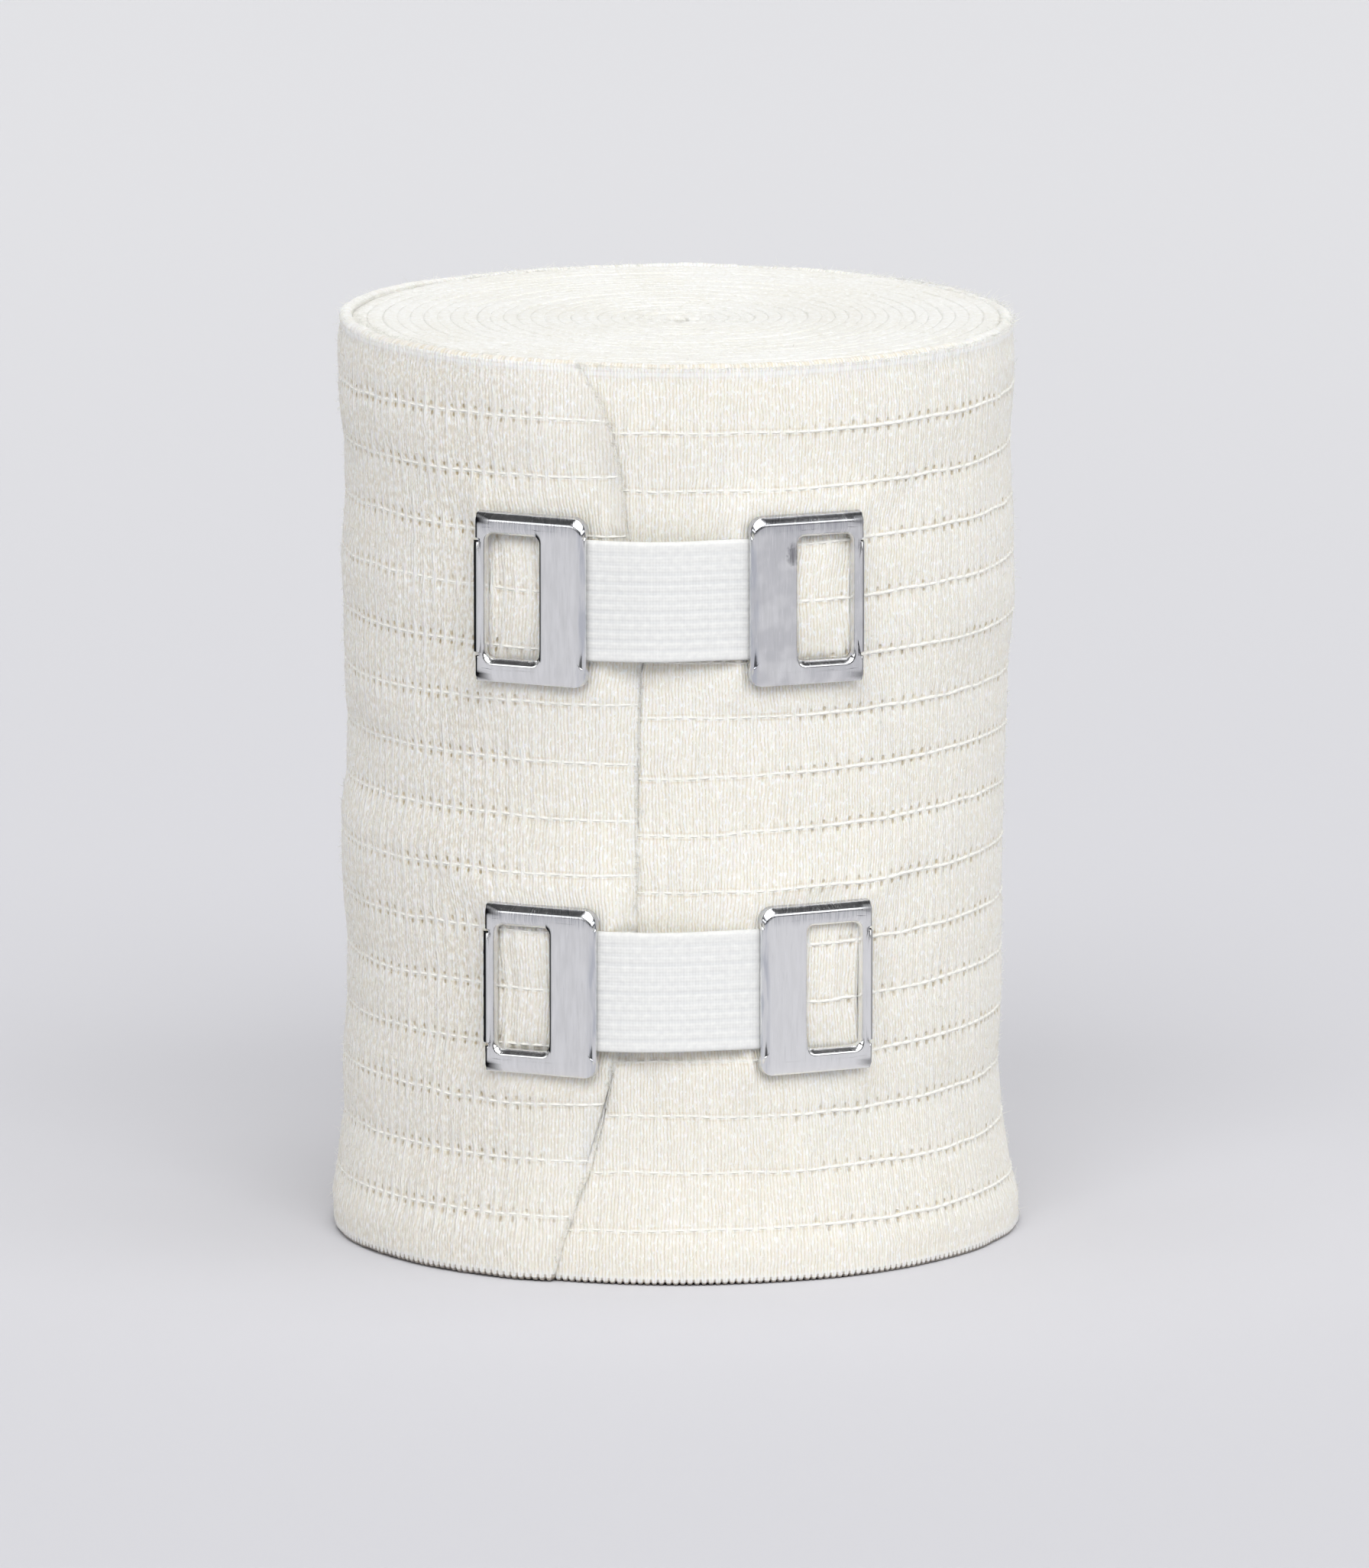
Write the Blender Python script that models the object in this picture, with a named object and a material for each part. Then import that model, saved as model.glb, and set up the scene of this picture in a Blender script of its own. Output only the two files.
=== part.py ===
# A rolled crepe support bandage, standing upright, held by two clips.
#
# Metres, +Z up. The front, where the clips and the loose end are, faces -Y.
# The origin is under the middle of the whole object's box, on the surface it
# stands on. Angles called phi are measured about the roll's axis from the
# front, positive towards +X; seen from above the strip is wound so that phi
# grows from the core to the loose end.

from math import cos, floor, pi, radians, sin

import bmesh
import bpy
from mathutils import Matrix, Vector

MM = 0.001

# ---- Driving sizes, in millimetres and degrees -----------------------------

WIDTH = 99.9  # width of the cloth, the roll's height
CLOTH = 1.30  # thickness of the cloth
PITCH = 1.45  # radial distance between turns: cloth and a little air
AIR = PITCH - CLOTH
END_RADIUS = 36.69  # outer radius at the loose end, about the spiral's axis
CORE_RADIUS = 2.30  # outer radius of the first turn at its start
SPIRAL_X = 0.36  # the spiral's axis lies this far right of the outline's axis
EVEN_RADIUS = 36.0  # the outline radius that the profile table counts from
SHAPED_TURNS = 3.0  # the outer turns that follow the profile
END_SOFT = 0.20  # the cut end is pressed this much thinner

# The outline of the outer turn: height, radius on the left, on the right.
PROFILE = [
    {"z": 0.0, "left": 36.9, "right": 36.9},
    {"z": 3.2, "left": 37.7, "right": 37.3},
    {"z": 8.0, "left": 36.8, "right": 36.3},
    {"z": 17.0, "left": 36.1, "right": 35.2},
    {"z": 50.0, "left": 35.7, "right": 35.5},
    {"z": 72.0, "left": 36.4, "right": 36.6},
    {"z": 92.0, "left": 36.7, "right": 36.6},
    {"z": 99.9, "left": 36.5, "right": 36.5},
]

# The cut loose end, top to bottom: height and angle.
LOOSE_END = [
    {"z": 0.0, "phi": -21.4},
    {"z": 3.2, "phi": -19.6},
    {"z": 8.0, "phi": -17.0},
    {"z": 17.0, "phi": -13.4},
    {"z": 50.0, "phi": -7.4},
    {"z": 72.0, "phi": -7.8},
    {"z": 92.0, "phi": -11.8},
    {"z": 99.9, "phi": -18.0},
]

# How far the strip has crept up on the roll: turns before the end, and rise.
CREEP = [
    {"turns": 0.00, "rise": 0.60},
    {"turns": 0.22, "rise": 0.80},
    {"turns": 0.36, "rise": 0.20},
    {"turns": 0.60, "rise": 0.00},
    {"turns": 99.0, "rise": 0.00},
]

# Straight segments in each turn: from this outer radius on, this many.
FACETS = [{"radius": 0.0, "count": 24}, {"radius": 16.0, "count": 32}]
LAST_RAY = -33.75  # angle of the last even cross section before the cut end

# Clip plates
PLATE_W = 13.0  # along the roll's surface
PLATE_H = 18.6  # up the roll
SHEET = 0.40
STAND = 1.20  # from the cloth to the plate's underside, at its middle
RIM = 1.20  # outer radius of the turned-down rims, top and bottom
RIM_DROP = 0.90  # how far those rims reach below the plate's underside
SIDE_RIM = 0.60  # radius of the rim over the elastic
SIDE_DROP = 0.28
CORNER = 1.6
WINDOW_W = 6.2
WINDOW_H = 13.35
WINDOW_EDGE = 1.25  # from the tooth side of the plate to the window
WINDOW_LIFT = 0.15  # the window lies this much above the plate's middle
WINDOW_RIM = 0.90
WINDOW_DROP = 0.60
TAB_H = 11.9  # toothed tab, bent down along the plate's outer side
TAB_DROP = 1.40
TOOTH = 0.45
TEETH = 5

# Elastic
ELASTIC_W = 13.2
ELASTIC_T = 0.90
ELASTIC_UNDER = 3.6  # length held under each plate
ELASTIC_CRIMPED = 0.45  # thickness at the held ends
GAP = 0.30

# The clips: height, and the angle of each plate's middle.
CLIPS = [
    {"name": "clip_upper", "z": 74.6, "left": -24.6, "right": 21.6},
    {"name": "clip_lower", "z": 31.9, "left": -23.4, "right": 24.1},
]

# ---- Shared geometry -------------------------------------------------------


def between(table, key, at, column):
    """Reads a column of a table at a value of its key, on straight lines."""
    if at <= table[0][key]:
        return table[0][column]
    for low, high in zip(table, table[1:]):
        if at <= high[key]:
            part = (at - low[key]) / (high[key] - low[key])
            return low[column] + part * (high[column] - low[column])
    return table[-1][column]


def about_axis(radius, phi, z):
    """A point at a radius and an angle about the spiral's axis."""
    a = radians(phi)
    return Vector((SPIRAL_X + radius * sin(a), -radius * cos(a), z))


def swell(phi, z):
    """How far the outline stands out from an even cylinder."""
    left = between(PROFILE, "z", z, "left")
    right = between(PROFILE, "z", z, "right")
    side = sin(radians(phi))
    return (left + right) / 2 + side * (right - left) / 2 - EVEN_RADIUS


def shaped(turns):
    """How much of the profile a turn follows, counted back from the end."""
    return min(1.0, max(0.0, 1.0 - (turns - 1.0) / (SHAPED_TURNS - 1.0)))


def outer_wall(turns, phi, z):
    """Radius of the strip's outer side, so many turns before the end."""
    return END_RADIUS - PITCH * turns + shaped(turns) * swell(phi, z)


def inner_wall(turns, phi, z):
    """The strip lies on the turn before it, and is never over its thickness."""
    on_last = outer_wall(turns + 1.0, phi, z) + AIR
    return max(on_last, outer_wall(turns, phi, z) - CLOTH)


def turns_at(phi_total):
    """Turns before the loose end's mean angle, from a total angle back."""
    return (END_PHI - phi_total) / 360.0


END_PHI = sum(row["phi"] for row in LOOSE_END[3:7]) / 4


def surface(phi, z):
    """Radius of the outermost cloth at an angle in front."""
    edge = between(LOOSE_END, "z", z, "phi")
    turns = turns_at(phi) if phi <= edge else turns_at(phi) + 1.0
    return outer_wall(turns, phi, z)


def new_object(name, bm, material, smooth_deg=35.0):
    bmesh.ops.recalc_face_normals(bm, faces=bm.faces)
    bmesh.ops.scale(bm, vec=Vector((MM, MM, MM)), verts=bm.verts)
    mesh = bpy.data.meshes.new(name)
    bm.to_mesh(mesh)
    bm.free()
    mesh.materials.append(material)
    mesh.shade_smooth()
    mesh.set_sharp_from_angle(angle=radians(smooth_deg))
    ob = bpy.data.objects.new(name, mesh)
    bpy.context.collection.objects.link(ob)
    ob.parent = whole
    return ob


def bridge(bm, rings, closed):
    """Joins rings of equal length; closed joins the last to the first."""
    count = len(rings[0])
    pairs = list(zip(rings, rings[1:]))
    if closed:
        pairs.append((rings[-1], rings[0]))
    for a, b in pairs:
        for i in range(count):
            j = (i + 1) % count
            bm.faces.new((a[i], a[j], b[j], b[i]))


def plain_material(name, colour, roughness, metallic=0.0):
    mat = bpy.data.materials.new(name)
    mat.use_nodes = True
    shader = mat.node_tree.nodes["Principled BSDF"]
    shader.inputs["Base Color"].default_value = (*colour, 1.0)
    shader.inputs["Roughness"].default_value = roughness
    shader.inputs["Metallic"].default_value = metallic
    mat.diffuse_color = (*colour, 1.0)
    return mat


# ---- The roll --------------------------------------------------------------


def strip_stations():
    """Total angles of the strip's cross sections, from the core outwards.

    Within a turn they stand on fixed rays, so that turns nest facet on facet.
    """
    start_turns = (END_RADIUS - CORE_RADIUS) / PITCH
    first_step = 360.0 / FACETS[0]["count"]
    phi = first_step * round((END_PHI - 360.0 * start_turns) / first_step)
    stations = []
    while phi < LAST_RAY - 0.01:
        stations.append(phi)
        radius = outer_wall(turns_at(phi), phi, WIDTH / 2)
        count = [row["count"] for row in FACETS if radius >= row["radius"]][-1]
        step = 360.0 / count
        phi = step * (floor(phi / step + 0.35) + 1)
    stations.append(LAST_RAY)
    return stations


def strip_section(turns, phi, rows, rise):
    """A cross section: up the outer side, then down the inner side."""
    points = []
    for z in rows:
        points.append((outer_wall(turns, phi, z), z))
    for z in reversed(rows):
        points.append((inner_wall(turns, phi, z), z))
    return [about_axis(r, phi, z + rise) for r, z in points]


def make_roll(material):
    bm = bmesh.new()
    full_rows = [row["z"] for row in PROFILE]
    end_rows = [full_rows[0], full_rows[-1]]
    rings = []
    kinds = []
    for phi in strip_stations():
        turns = turns_at(phi)
        is_shaped = turns < SHAPED_TURNS
        rise = between(CREEP, "turns", turns, "rise")
        rows = full_rows if is_shaped else end_rows
        section = strip_section(turns, phi, rows, rise)
        rings.append([bm.verts.new(p) for p in section])
        kinds.append(is_shaped)

    # The last two columns follow the slanting cut edge.
    last = strip_stations()[-1]
    for share, thin in ((0.55, 0.0), (1.0, END_SOFT)):
        ring = []
        rise = between(CREEP, "turns", 0.0, "rise")
        for rows, wall, press in (
            (full_rows, outer_wall, -thin),
            (full_rows[::-1], inner_wall, 0.0),
        ):
            for z in rows:
                edge = between(LOOSE_END, "z", z, "phi")
                phi = last + share * (edge - last)
                turns = turns_at(phi)
                ring.append(bm.verts.new(about_axis(wall(turns, phi, z) + press, phi, z + rise)))
        rings.append(ring)
        kinds.append(True)

    bm.faces.new(rings[0])
    bm.faces.new(rings[-1])
    for (a, ka), (b, kb) in zip(zip(rings, kinds), list(zip(rings, kinds))[1:]):
        if ka == kb:
            for i in range(len(a)):
                j = (i + 1) % len(a)
                bm.faces.new((a[i], a[j], b[j], b[i]))
        else:
            # A plain section meets a shaped one: one face on each wall.
            n = len(full_rows)
            bm.faces.new([a[0], a[1]] + b[n - 1 :: -1][:n])
            bm.faces.new((a[1], a[2], b[n], b[n - 1]))
            bm.faces.new([a[2], a[3]] + b[2 * n - 1 : n - 1 : -1])
            bm.faces.new((a[3], a[0], b[0], b[2 * n - 1]))
    bmesh.ops.triangulate(bm, faces=[f for f in bm.faces if len(f.verts) > 4])
    return new_object("bandage_roll", bm, material, 50.0)


# ---- Clip plates -----------------------------------------------------------


def outline(left, right, low, high, radii, side_points, right_points):
    """A rectangle with rounded corners, counter-clockwise from low left.

    radii: corner radii at low left, low right, high right and high left.
    side_points: heights of extra points on the left side, top to bottom.
    right_points: heights of extra points on the right side, going up.
    """
    points = []
    corners = [
        (left, low, radii[0], 180.0),
        (right, low, radii[1], 270.0),
        (right, high, radii[2], 0.0),
        (left, high, radii[3], 90.0),
    ]
    for x, z, r, start in corners:
        cx = x + (r if x == left else -r)
        cz = z + (r if z == low else -r)
        for k in range(3):
            a = radians(start + 45.0 * k)
            points.append((cx + r * cos(a), cz + r * sin(a)))
        if x == right and z == low:
            points += [(right, up) for up in right_points]
    for z in side_points:
        points.append((left, z))
    return points


def plate_rings():
    """Closed loops around the plate, over the top and back underneath.

    Each is a list of (across, up, height): across runs from the tooth side
    at 0 to the elastic side, height is measured from the plate's underside.
    """
    half = PLATE_H / 2
    tooth_z = []
    for k in range(2 * TEETH + 1):
        tooth_z.append(TAB_H / 2 - TAB_H * k / (2 * TEETH))
    over = ELASTIC_W / 2 + GAP

    def plate_loop(inset_end, inset_side, inset_tab, height, side_height):
        loop = outline(
            inset_tab,
            PLATE_W - inset_side,
            -half + inset_end,
            half - inset_end,
            (0.25, max(CORNER - inset_end, 0.3), max(CORNER - inset_end, 0.3), 0.25),
            tooth_z,
            (-over, over),
        )
        out = []
        for x, z in loop:
            # The rim over the elastic is shallower than the end rims.
            near = abs(z) < over + 0.01 and x > PLATE_W / 2
            out.append((x, z, side_height if near else height))
        return out

    def window_loop(grow, height):
        left = WINDOW_EDGE - grow * 0.55
        right = WINDOW_EDGE + WINDOW_W + grow
        low = -WINDOW_H / 2 + WINDOW_LIFT - grow
        high = WINDOW_H / 2 + WINDOW_LIFT + grow
        loop = outline(left, right, low, high, (0.9 + grow,) * 4, tooth_z, (-4.0, 4.0))
        return [(x, z, height) for x, z in loop]

    def toothed(loop, drop):
        """Bends the tab down: deep at the teeth, less at the roots."""
        out = list(loop)
        first = len(loop) - len(tooth_z)
        for k in range(len(tooth_z)):
            x, z, _ = loop[first + k]
            depth = drop - (TOOTH if k % 2 == 0 else 0.0)
            out[first + k] = (x, z, -depth)
        return out

    top = SHEET
    end_low = -RIM_DROP
    side_low = -SIDE_DROP
    return [
        toothed(plate_loop(0.0, 0.0, 0.0, end_low, side_low), TAB_DROP),
        plate_loop(0.0, 0.0, 0.0, top - RIM, top - SIDE_RIM),
        plate_loop(RIM * 0.3, SIDE_RIM * 0.3, 0.08, top - RIM * 0.3, top - SIDE_RIM * 0.3),
        plate_loop(RIM, SIDE_RIM, 0.3, top, top),
        window_loop(WINDOW_RIM, top),
        window_loop(WINDOW_RIM * 0.3, top - WINDOW_RIM * 0.3),
        window_loop(0.0, -WINDOW_DROP),
        window_loop(SHEET * 0.8, -WINDOW_DROP),
        window_loop(WINDOW_RIM, 0.0),
        plate_loop(RIM, SIDE_RIM + SHEET, 0.55, 0.0, 0.0),
        plate_loop(SHEET, SHEET, SHEET, top - RIM, 0.0),
        toothed(plate_loop(SHEET, SHEET, SHEET, end_low, side_low), TAB_DROP),
    ]


def make_plate(name, clip_z, phi, mirrored, material):
    """Places a plate flat on the roll at an angle, tooth side outwards."""
    seat = surface(phi, clip_z) + STAND
    across = Vector((cos(radians(phi)), sin(radians(phi)), 0.0))
    out = Vector((sin(radians(phi)), -cos(radians(phi)), 0.0))
    centre = Vector((SPIRAL_X, 0.0, clip_z)) + out * seat
    flip = -1.0 if mirrored else 1.0
    bm = bmesh.new()
    rings = []
    for loop in plate_rings():
        ring = []
        for x, z, h in loop:
            p = centre + across * ((x - PLATE_W / 2) * flip) + out * h
            p.z += z
            ring.append(bm.verts.new(p))
        rings.append(ring)
    bridge(bm, rings, closed=True)
    return new_object(name, bm, material, 40.0)


# ---- Elastic ---------------------------------------------------------------


def make_elastic(name, clip, material):
    """A flat band over the roll's front, its ends held under the plates."""
    z = clip["z"]
    half = ELASTIC_W / 2
    edge = []  # angle where each plate's elastic side lies
    for side, turn in (("left", 1.0), ("right", -1.0)):
        seat = surface(clip[side], z) + STAND
        edge.append(clip[side] + turn * degrees_of(PLATE_W / 2, seat))
    under = degrees_of(ELASTIC_UNDER, END_RADIUS)
    start, end = edge[0] - under, edge[1] + under
    steps = 14
    step_phi = between(LOOSE_END, "z", z, "phi")
    low_radius = surface(step_phi + 4.0, z)
    bm = bmesh.new()
    rings = []
    for k in range(steps + 1):
        phi = start + (end - start) * k / steps
        # The band stays on the upper layer over the cut edge, then eases down.
        ease = min(1.0, max(0.0, (phi - step_phi - 1.5) / (edge[1] - step_phi - 1.5)))
        ease = ease * ease * (3 - 2 * ease)
        high = surface(min(phi, step_phi - 0.1), z)
        inside = high + (low_radius - high) * ease + GAP
        inside = max(inside, surface(phi, z) + GAP)
        thick = ELASTIC_T
        for side, at in (("left", edge[0]), ("right", edge[1])):
            beyond = (at - phi) if side == "left" else (phi - at)
            if beyond > -0.5:
                # Under the plate the band is crimped and follows its underside.
                seat = surface(clip[side], z) + STAND
                roof = seat / cos(radians(phi - clip[side])) - GAP - 0.02
                share = min(1.0, max(0.0, (beyond + 0.5) / (under + 0.5)))
                want = ELASTIC_T + (ELASTIC_CRIMPED - ELASTIC_T) * share
                roof -= SIDE_DROP * (1.0 if beyond < 1.2 else 0.0)
                thick = min(want, roof - inside)
        ring = [
            (inside, -half),
            (inside + thick, -half),
            (inside + thick, half),
            (inside, half),
        ]
        rings.append([bm.verts.new(about_axis(r, phi, z + dz)) for r, dz in ring])
    bridge(bm, rings, closed=False)
    bm.faces.new(rings[0])
    bm.faces.new(rings[-1])
    return new_object(name, bm, material, 40.0)


def degrees_of(length, radius):
    return length / radius * 180.0 / pi


# ---- Build -----------------------------------------------------------------

for old in list(bpy.data.objects):
    bpy.data.objects.remove(old, do_unlink=True)

whole = bpy.data.objects.new("support_bandage", None)
bpy.context.collection.objects.link(whole)

crepe = plain_material("crepe_cloth", (0.84, 0.81, 0.75), 0.92)
steel = plain_material("bright_sheet", (0.62, 0.62, 0.64), 0.28, 1.0)
white = plain_material("white_elastic", (0.86, 0.88, 0.90), 0.80)

pieces = [make_roll(crepe)]
for clip in CLIPS:
    base = clip["name"]
    pieces.append(make_plate(base + "_plate_left", clip["z"], clip["left"], False, steel))
    pieces.append(make_elastic(base + "_elastic", clip, white))
    pieces.append(make_plate(base + "_plate_right", clip["z"], clip["right"], True, steel))

# The origin goes under the middle of the box that holds every piece.
corners = [v.co for ob in pieces for v in ob.data.vertices]
middle_x = (min(c.x for c in corners) + max(c.x for c in corners)) / 2
middle_y = (min(c.y for c in corners) + max(c.y for c in corners)) / 2
lowest = min(c.z for c in corners)
whole.matrix_world = Matrix.Translation((-middle_x, -middle_y, -lowest))
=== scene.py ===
import math

import bpy
import numpy as np
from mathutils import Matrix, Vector
from mathutils.geometry import tessellate_polygon


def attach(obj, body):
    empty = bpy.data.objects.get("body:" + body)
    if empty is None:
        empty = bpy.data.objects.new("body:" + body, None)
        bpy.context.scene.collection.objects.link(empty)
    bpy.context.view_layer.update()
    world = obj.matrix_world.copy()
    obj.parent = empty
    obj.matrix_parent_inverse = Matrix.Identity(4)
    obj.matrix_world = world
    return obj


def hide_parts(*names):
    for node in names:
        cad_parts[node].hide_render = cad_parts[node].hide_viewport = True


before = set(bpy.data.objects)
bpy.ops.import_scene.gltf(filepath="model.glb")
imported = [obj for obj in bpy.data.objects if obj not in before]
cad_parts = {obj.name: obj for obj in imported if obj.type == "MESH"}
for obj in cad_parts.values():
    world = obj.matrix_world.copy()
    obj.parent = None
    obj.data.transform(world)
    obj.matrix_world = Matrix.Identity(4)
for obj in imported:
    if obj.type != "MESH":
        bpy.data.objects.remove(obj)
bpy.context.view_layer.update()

MM = 0.001
AXIS_X, AXIS_Y = 0.5625, 0.3590  # the roll's axis in the frame

# ---- Sizes repeated from the CAD part --------------------------------------

WIDTH = 99.9
CLOTH = 1.30
PITCH = 1.45
AIR = PITCH - CLOTH
END_RADIUS = 36.69
CORE_RADIUS = 2.30
EVEN_RADIUS = 36.0
SHAPED_TURNS = 3.0

# The roll's outline: height, radius on the left, radius on the right.
PROFILE = np.array([
    (0.0, 37.35, 37.3), (2.4, 37.55, 37.3), (6.6, 36.95, 36.5), (10.0, 36.5, 35.9),
    (13.4, 36.1, 35.5), (18.4, 36.2, 35.15), (25.2, 35.8, 35.4), (32.0, 35.75, 35.4),
    (35.3, 36.0, 35.5), (40.4, 36.35, 35.4), (45.5, 36.4, 35.5), (50.5, 35.75, 35.6),
    (55.6, 35.6, 35.85), (60.7, 36.05, 35.95), (65.8, 36.1, 36.3), (69.1, 36.25, 36.65),
    (74.2, 36.45, 36.6), (79.3, 35.95, 36.55), (84.4, 35.95, 36.3), (89.4, 36.45, 36.3),
    (92.8, 36.7, 36.65), (99.9, 36.5, 36.5),
])

# The cut loose end: height along the cloth, angle.
LOOSE_END = np.array([
    (-1.0, -22.0), (0.9, -21.2), (6.9, -17.9), (13.7, -14.5), (22.1, -11.8),
    (40.5, -7.6), (48.8, -7.4), (57.0, -7.0), (68.0, -6.9), (83.0, -9.8),
    (87.2, -10.4), (91.3, -11.6), (94.9, -13.4), (96.2, -14.8), (99.9, -18.2),
])
END_PHI = -10.1

# Turns before the loose end, and how far the cloth has crept up there.
CREEP = np.array([(-1.0, 0.6), (0.0, 0.6), (0.22, 0.8), (0.36, 0.2), (0.60, 0.0), (99.0, 0.0)])

PLATE_W, PLATE_H, SHEET, STAND = 13.0, 18.6, 0.40, 1.20
RIM, RIM_DROP = 1.20, 0.90
RIM_IN = 1.65  # the rims' curve reaches this far into the face
LIP_IN = 1.25  # and the window's lower lip this far
# The rims' section, steep at first: share of the way in, share of the depth left.
BEND = [
    (0.00, 1.0), (0.035, 0.76), (0.075, 0.488), (0.095, 0.463), (0.42, 0.075),
    (0.52, 0.026), (0.64, 0.012), (0.82, 0.004), (1.0, 0.0),
]
SIDE_RIM, SIDE_DROP = 0.60, 0.28
CORNER = 1.6
WINDOW_W, WINDOW_H, WINDOW_EDGE, WINDOW_LIFT = 6.2, 13.35, 1.25, 0.15
WINDOW_RIM, WINDOW_DROP = 0.90, 0.60
TAB_H, TAB_DROP, TOOTH, TEETH = 11.9, 1.40, 0.45, 5
ELASTIC_W, ELASTIC_T, ELASTIC_UNDER, ELASTIC_CRIMPED, GAP = 13.2, 0.90, 3.6, 0.45, 0.30
CLIPS = [
    {"name": "clip_upper", "z": 74.6, "left": -24.6, "right": 21.6},
    {"name": "clip_lower", "z": 31.9, "left": -23.4, "right": 24.1},
]

# ---- The weave -------------------------------------------------------------

RIB_DEG = 1.2  # one upright rib, 0.75 mm on the outer turn
LINE_FIRST, LINE_STEP = 5.7, 6.21  # lengthwise threads: first height, spacing
ARC = math.pi / 180.0 * 36.4  # millimetres of outer surface in a degree

# ---- Helpers ---------------------------------------------------------------

_tables = {}


def noise(x, y, seed):
    """Smooth noise from -1 to 1, one bump per unit."""
    if seed not in _tables:
        _tables[seed] = np.random.default_rng(seed).random((256, 256)) * 2.0 - 1.0
    table = _tables[seed]
    x, y = np.broadcast_arrays(np.asarray(x, float), np.asarray(y, float))
    xi, yi = np.floor(x).astype(int), np.floor(y).astype(int)
    fx, fy = x - xi, y - yi
    fx, fy = fx * fx * (3 - 2 * fx), fy * fy * (3 - 2 * fy)
    a, b = xi & 255, (xi + 1) & 255
    c, d = yi & 255, (yi + 1) & 255
    low = table[a, c] * (1 - fx) + table[b, c] * fx
    high = table[a, d] * (1 - fx) + table[b, d] * fx
    return low * (1 - fy) + high * fy


def step(low, high, x):
    f = np.clip((x - low) / (high - low), 0.0, 1.0)
    return f * f * (3 - 2 * f)


def curve(table, column, at):
    """A smooth curve through a table's rows, without overshoot."""
    x, y = table[:, 0], table[:, column]
    at = np.clip(at, x[0], x[-1])
    h = np.diff(x)
    slope = np.diff(y) / h
    m = np.zeros(len(x))
    for i in range(1, len(x) - 1):
        if slope[i - 1] * slope[i] > 0:
            w1, w2 = 2 * h[i] + h[i - 1], h[i] + 2 * h[i - 1]
            m[i] = (w1 + w2) / (w1 / slope[i - 1] + w2 / slope[i])
    m[0], m[-1] = slope[0], slope[-1]
    i = np.clip(np.searchsorted(x, at, side="right") - 1, 0, len(x) - 2)
    f = (at - x[i]) / h[i]
    f2, f3 = f * f, f * f * f
    return (
        (2 * f3 - 3 * f2 + 1) * y[i] + (f3 - 2 * f2 + f) * h[i] * m[i]
        + (-2 * f3 + 3 * f2) * y[i + 1] + (f3 - f2) * h[i] * m[i + 1]
    )


def place(radius, phi, z):
    """Points from radius, angle and height, in metres of the frame."""
    a = np.radians(phi)
    radius, a, z = np.broadcast_arrays(radius, a, z)
    return np.stack([
        (AXIS_X + radius * np.sin(a)) * MM,
        (AXIS_Y - radius * np.cos(a)) * MM,
        z * MM,
    ], axis=-1)


def swell(phi, z):
    left, right = curve(PROFILE, 1, z), curve(PROFILE, 2, z)
    return (left + right) / 2 + np.sin(np.radians(phi)) * (right - left) / 2 - EVEN_RADIUS


def outer_wall(turns, phi, z):
    shaped = np.clip(1.0 - (turns - 1.0) / (SHAPED_TURNS - 1.0), 0.0, 1.0)
    return END_RADIUS - PITCH * turns + shaped * swell(phi, z)


def inner_wall(turns, phi, z):
    return np.maximum(outer_wall(turns + 1.0, phi, z) + AIR, outer_wall(turns, phi, z) - CLOTH)


def turns_at(total):
    return (END_PHI - total) / 360.0


def edge_at(v):
    return curve(LOOSE_END, 1, v)


def new_piece(name, points, faces, material, nodes, smooth=True):
    mesh = bpy.data.meshes.new(name)
    mesh.from_pydata([tuple(p) for p in points], [], faces)
    mesh.validate()
    mesh.update()
    mesh.materials.append(material)
    if smooth:
        mesh.shade_smooth()
    piece = bpy.data.objects.new(name, mesh)
    bpy.context.collection.objects.link(piece)
    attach(piece, "root")
    if nodes:
        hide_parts(*nodes)
    return piece


def grid_faces(ids, close_rows=True, close_columns=False):
    """Quads over a grid of point numbers, rows by columns."""
    rows = list(range(ids.shape[0]))
    a = ids
    b = np.roll(ids, -1, axis=0)
    if not close_rows:
        a, b = a[:-1], b[:-1]
    if close_columns:
        quads = np.stack([a, np.roll(a, -1, axis=1), np.roll(b, -1, axis=1), b], axis=-1)
    else:
        quads = np.stack([a[:, :-1], a[:, 1:], b[:, 1:], b[:, :-1]], axis=-1)
    return [tuple(int(i) for i in q) for q in quads.reshape(-1, 4)]


def cap(points_2d, ids, flip=False):
    """Fills a flat outline of point numbers with triangles."""
    tris = tessellate_polygon([[Vector((p[0], p[1], 0.0)) for p in points_2d]])
    out = []
    for t in tris:
        t = [ids[i] for i in t]
        out.append(tuple(t[::-1]) if flip else tuple(t))
    return out


# ---- Where the clips press and pull the cloth ------------------------------


def plate_frames():
    for clip in CLIPS:
        for side, sign in (("left", 1.0), ("right", -1.0)):
            yield clip["z"], clip[side], sign


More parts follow.
